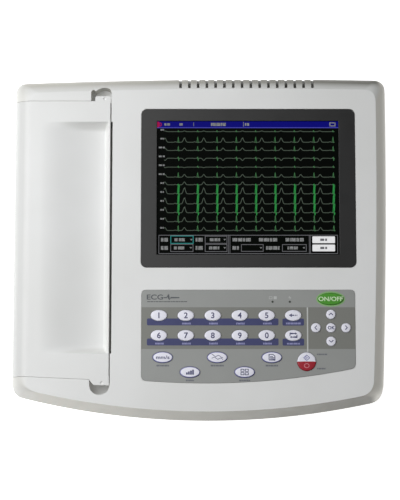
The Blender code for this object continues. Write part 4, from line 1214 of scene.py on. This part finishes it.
def make_keypad():
    keys = key_list()
    sheet = prism(overlay_outline(0.0), -0.9, OVERLAY_TOP)
    ob = piece("keypad_film", sheet, "film", "body", ("keypad_overlay",))

    def holes(grow):
        outlines = [ellipse(centre, half[0] + grow, half[1] + grow, 48) for _, centre, half, _ in keys]
        return merged(*[prism(outline, -4.0, 2.0) for outline in outlines])

    carve(ob, (CUT, holes(GAP)))
    soften(ob, 0.15)
    low, high = flat = (OVERLAY_TOP, OVERLAY_TOP + INK)
    bars = []
    for row in NUMBER_ROWS:
        bars.append(slab((-49.7, 72.3, row - 9.3, row - 2.8), 1.2, *flat, 4))
        bars.append(slab((76.0, 96.0, row - 9.5, row - 2.9), 1.2, *flat, 4))
    ob = piece("print_bars", merged(*bars), "indigo")
    carve(ob, (CUT, holes(GAP)))
    above = (high, high + INK)
    pale = []
    for name, centre, half, _ in keys:
        if name.startswith("number_") and name != "number_1":
            pale.append(dashes((centre[0] + 0.6, centre[1] - 7.6), 8.0, 1.7, *above, 4))
    pale.append(dashes((EDIT_COLUMN, NUMBER_ROWS[0] - 7.5), 13.6, 1.7, *above, 6))
    pale.append(dashes((EDIT_COLUMN, NUMBER_ROWS[1] - 7.7), 12.0, 1.5, *above, 4))
    piece("print_key_letters", merged(*pale), "pale_print")
    labels = []
    for i, width in enumerate((11.4, 7.4, 12.0, 10.0, 11.4)):
        u = FUNCTION_LEFT + FUNCTION_PITCH * i
        labels.append(dashes((u, FUNCTION_ROWS[i % 2] - 7.7), width, 1.5, *flat, 5))
    labels.append(dashes((112.4, -104.9), 9.6, 1.4, *flat, 5))
    labels.append(dashes((111.6, -118.2), 7.8, 1.4, *flat, 4))
    piece("print_function_labels", merged(*labels), "label")
    piece("print_halo", carve_ring(POWER_AT, (11.9 + GAP, 5.6 + GAP), 1.2, *flat), "halo")
    piece("print_divider", block(98.7, 99.8, START_AT[1] + 9.1, -60.8, *flat), "line_print")
    beat = [(-34.4, -51.6), (-31.2, -51.6), (-30.2, -49.0), (-28.8, -53.6), (-27.6, -51.6), (-19.6, -51.6)]
    title = merged(
        lettering("ECG", (-42.4, -51.0), 4.6, *flat, 1.25),
        stroke(beat, 1.0, *flat),
        dashes((-31.0, -55.4), 37.0, 0.8, *flat, 14),
    )
    piece("print_title", title, "title")
    lamps = merged(*[prism(ellipse((u, -55.5), 1.0, 1.0, 24), low, low + 0.25) for u in (66.9, 82.9)])
    piece("lamp_lenses", lamps, "lamp")
    lamp_icons = merged(
        frame_lines(63.6, 66.8, -53.0, -50.4, 0.5, *flat),
        block(68.0, 70.8, -53.1, -50.3, *flat),
        stroke([(82.9, -50.2), (82.1, -51.6), (83.7, -51.6), (82.9, -53.1)], 0.5, *flat),
    )
    piece("print_lamp_icons", lamp_icons, "grey_print")
    make_keys(keys)


def carve_ring(centre, half, width, low, high):
    """A flat band around an oval hole."""
    outer = ellipse(centre, half[0] + width, half[1] + width, 64)
    inner = ellipse(centre, half[0], half[1], 64)
    bars = []
    for i in range(64):
        j = (i + 1) % 64
        bars.append(prism([inner[i], outer[i], outer[j], inner[j]], low, high))
    return merged(*bars)


# ---- everything else ----


def make_feet():
    for node in [name for name in NODES if name.startswith("foot_")]:
        low, high = cad_corners(node)
        centre = ((low.x + high.x) / 2, (low.y + high.y) / 2)
        profile = ((7.4, 0.0), (7.9, 0.2), (8.2, 0.6), (8.8, 2.6), (9.0, 3.2), (9.0, 3.7))
        bm = loft([[(x, y, z) for x, y in ellipse(centre, r, r, 48)] for r, z in profile], quads=True)
        piece(f"pad_{node}", bm, "rubber", "body", (node,), UPRIGHT)


def dress(node, look):
    """Gives a CAD node that stays in view its finish."""
    NODES[node].data.materials.clear()
    NODES[node].data.materials.append(LOOKS[look].material)


def make_fittings():
    for node, look, slot in (
        ("mains_inlet", "black", "black_plastic"),
        ("patient_connector", "black", "black_plastic"),
        ("battery_hatch", "lower", "lower_grey"),
        ("data_port", "zinc", "zinc_steel"),
        ("printer_frame", "zinc", "zinc_steel"),
        ("paper_tray", "grey", "tray_grey"),
        ("print_head", "ceramic", "ceramic_white"),
        ("head_bracket", "zinc", "zinc_steel"),
    ):
        refined(node, look)
    refined("mains_switch", "black", "rocker", 0.4, 3)
    finishes = {
        "earth_terminal": "brass", "main_board": "board", "keypad_board": "board", "power_supply": "zinc",
        "battery_pack": "battery", "stepper_motor": "zinc", "platen_gear": "gear", "idler_gear": "gear",
        "motor_pinion": "brass", "platen_roller": "platen", "platen_shaft": "steel", "paper_roll": "paper",
        "paper_spindle": "grey", "platen_bush_rear": "gear", "platen_bush_front": "gear",
        "cover_hinge_pin_rear": "steel", "cover_hinge_pin_front": "steel",
    }
    for node, look in finishes.items():
        dress(node, look)


def make_stage():
    bm = bmesh.new()
    bmesh.ops.create_grid(bm, x_segments=2, y_segments=2, size=4.0)
    mesh = meshed("floor", bm)
    shader = Shader("floor_white", 0.9)
    shader.colour(shader.mix(shader.noise(2.0, 2.0), (0.86, 0.86, 0.86), (0.88, 0.88, 0.88)))
    shader.emit(0.9, (1.0, 1.0, 1.0))
    mesh.materials.append(shader.material)
    placed("floor", mesh)
    world = bpy.data.worlds.new("studio")
    world.use_nodes = True
    background = world.node_tree.nodes["Background"]
    background.inputs["Color"].default_value = (0.96, 0.98, 1.0, 1.0)
    background.inputs["Strength"].default_value = 0.17
    bpy.context.scene.world = world
    lamp("key", (-0.66, 0.13, 0.80), 0.9, 10.4, (1.0, 0.998, 0.995))
    lamp("fill", (0.5, -0.9, 1.2), 0.9, 0.8, (1.0, 0.96, 0.88))
    bpy.context.scene.view_settings.view_transform = "Standard"


def lamp(name, place, size, power, colour):
    """A soft square light that faces the object."""
    data = bpy.data.lights.new(name, "AREA")
    data.size = size
    data.energy = power
    data.color = colour
    ob = placed(name, data)
    ob.location = place
    ob.rotation_euler = (Vector((0.0, 0.0, 0.06)) - Vector(place)).to_track_quat("-Z", "Y").to_euler()


def make_camera():
    data = bpy.data.cameras.new("camera")
    data.sensor_width = 36.0
    data.lens = 185.0
    data.shift_x = -0.001
    data.clip_end = 20.0
    ob = placed("camera", data)
    target = Vector((0.0, -0.0055, 0.075))
    elevation, distance = math.radians(75.0), 2.4
    ob.location = target + Vector((0.0, -math.cos(elevation), math.sin(elevation))) * distance
    ob.rotation_euler = (math.radians(90.0) - elevation, 0.0, 0.0)
    bpy.context.scene.camera = ob


make_camera()
make_stage()
make_upper_case()
make_lower_case()
make_cover()
make_display()
make_keypad()
make_feet()
make_fittings()


def plain(box):
    return [[round(float(value), 6) for value in corner] for corner in box]


bpy.context.view_layer.update()
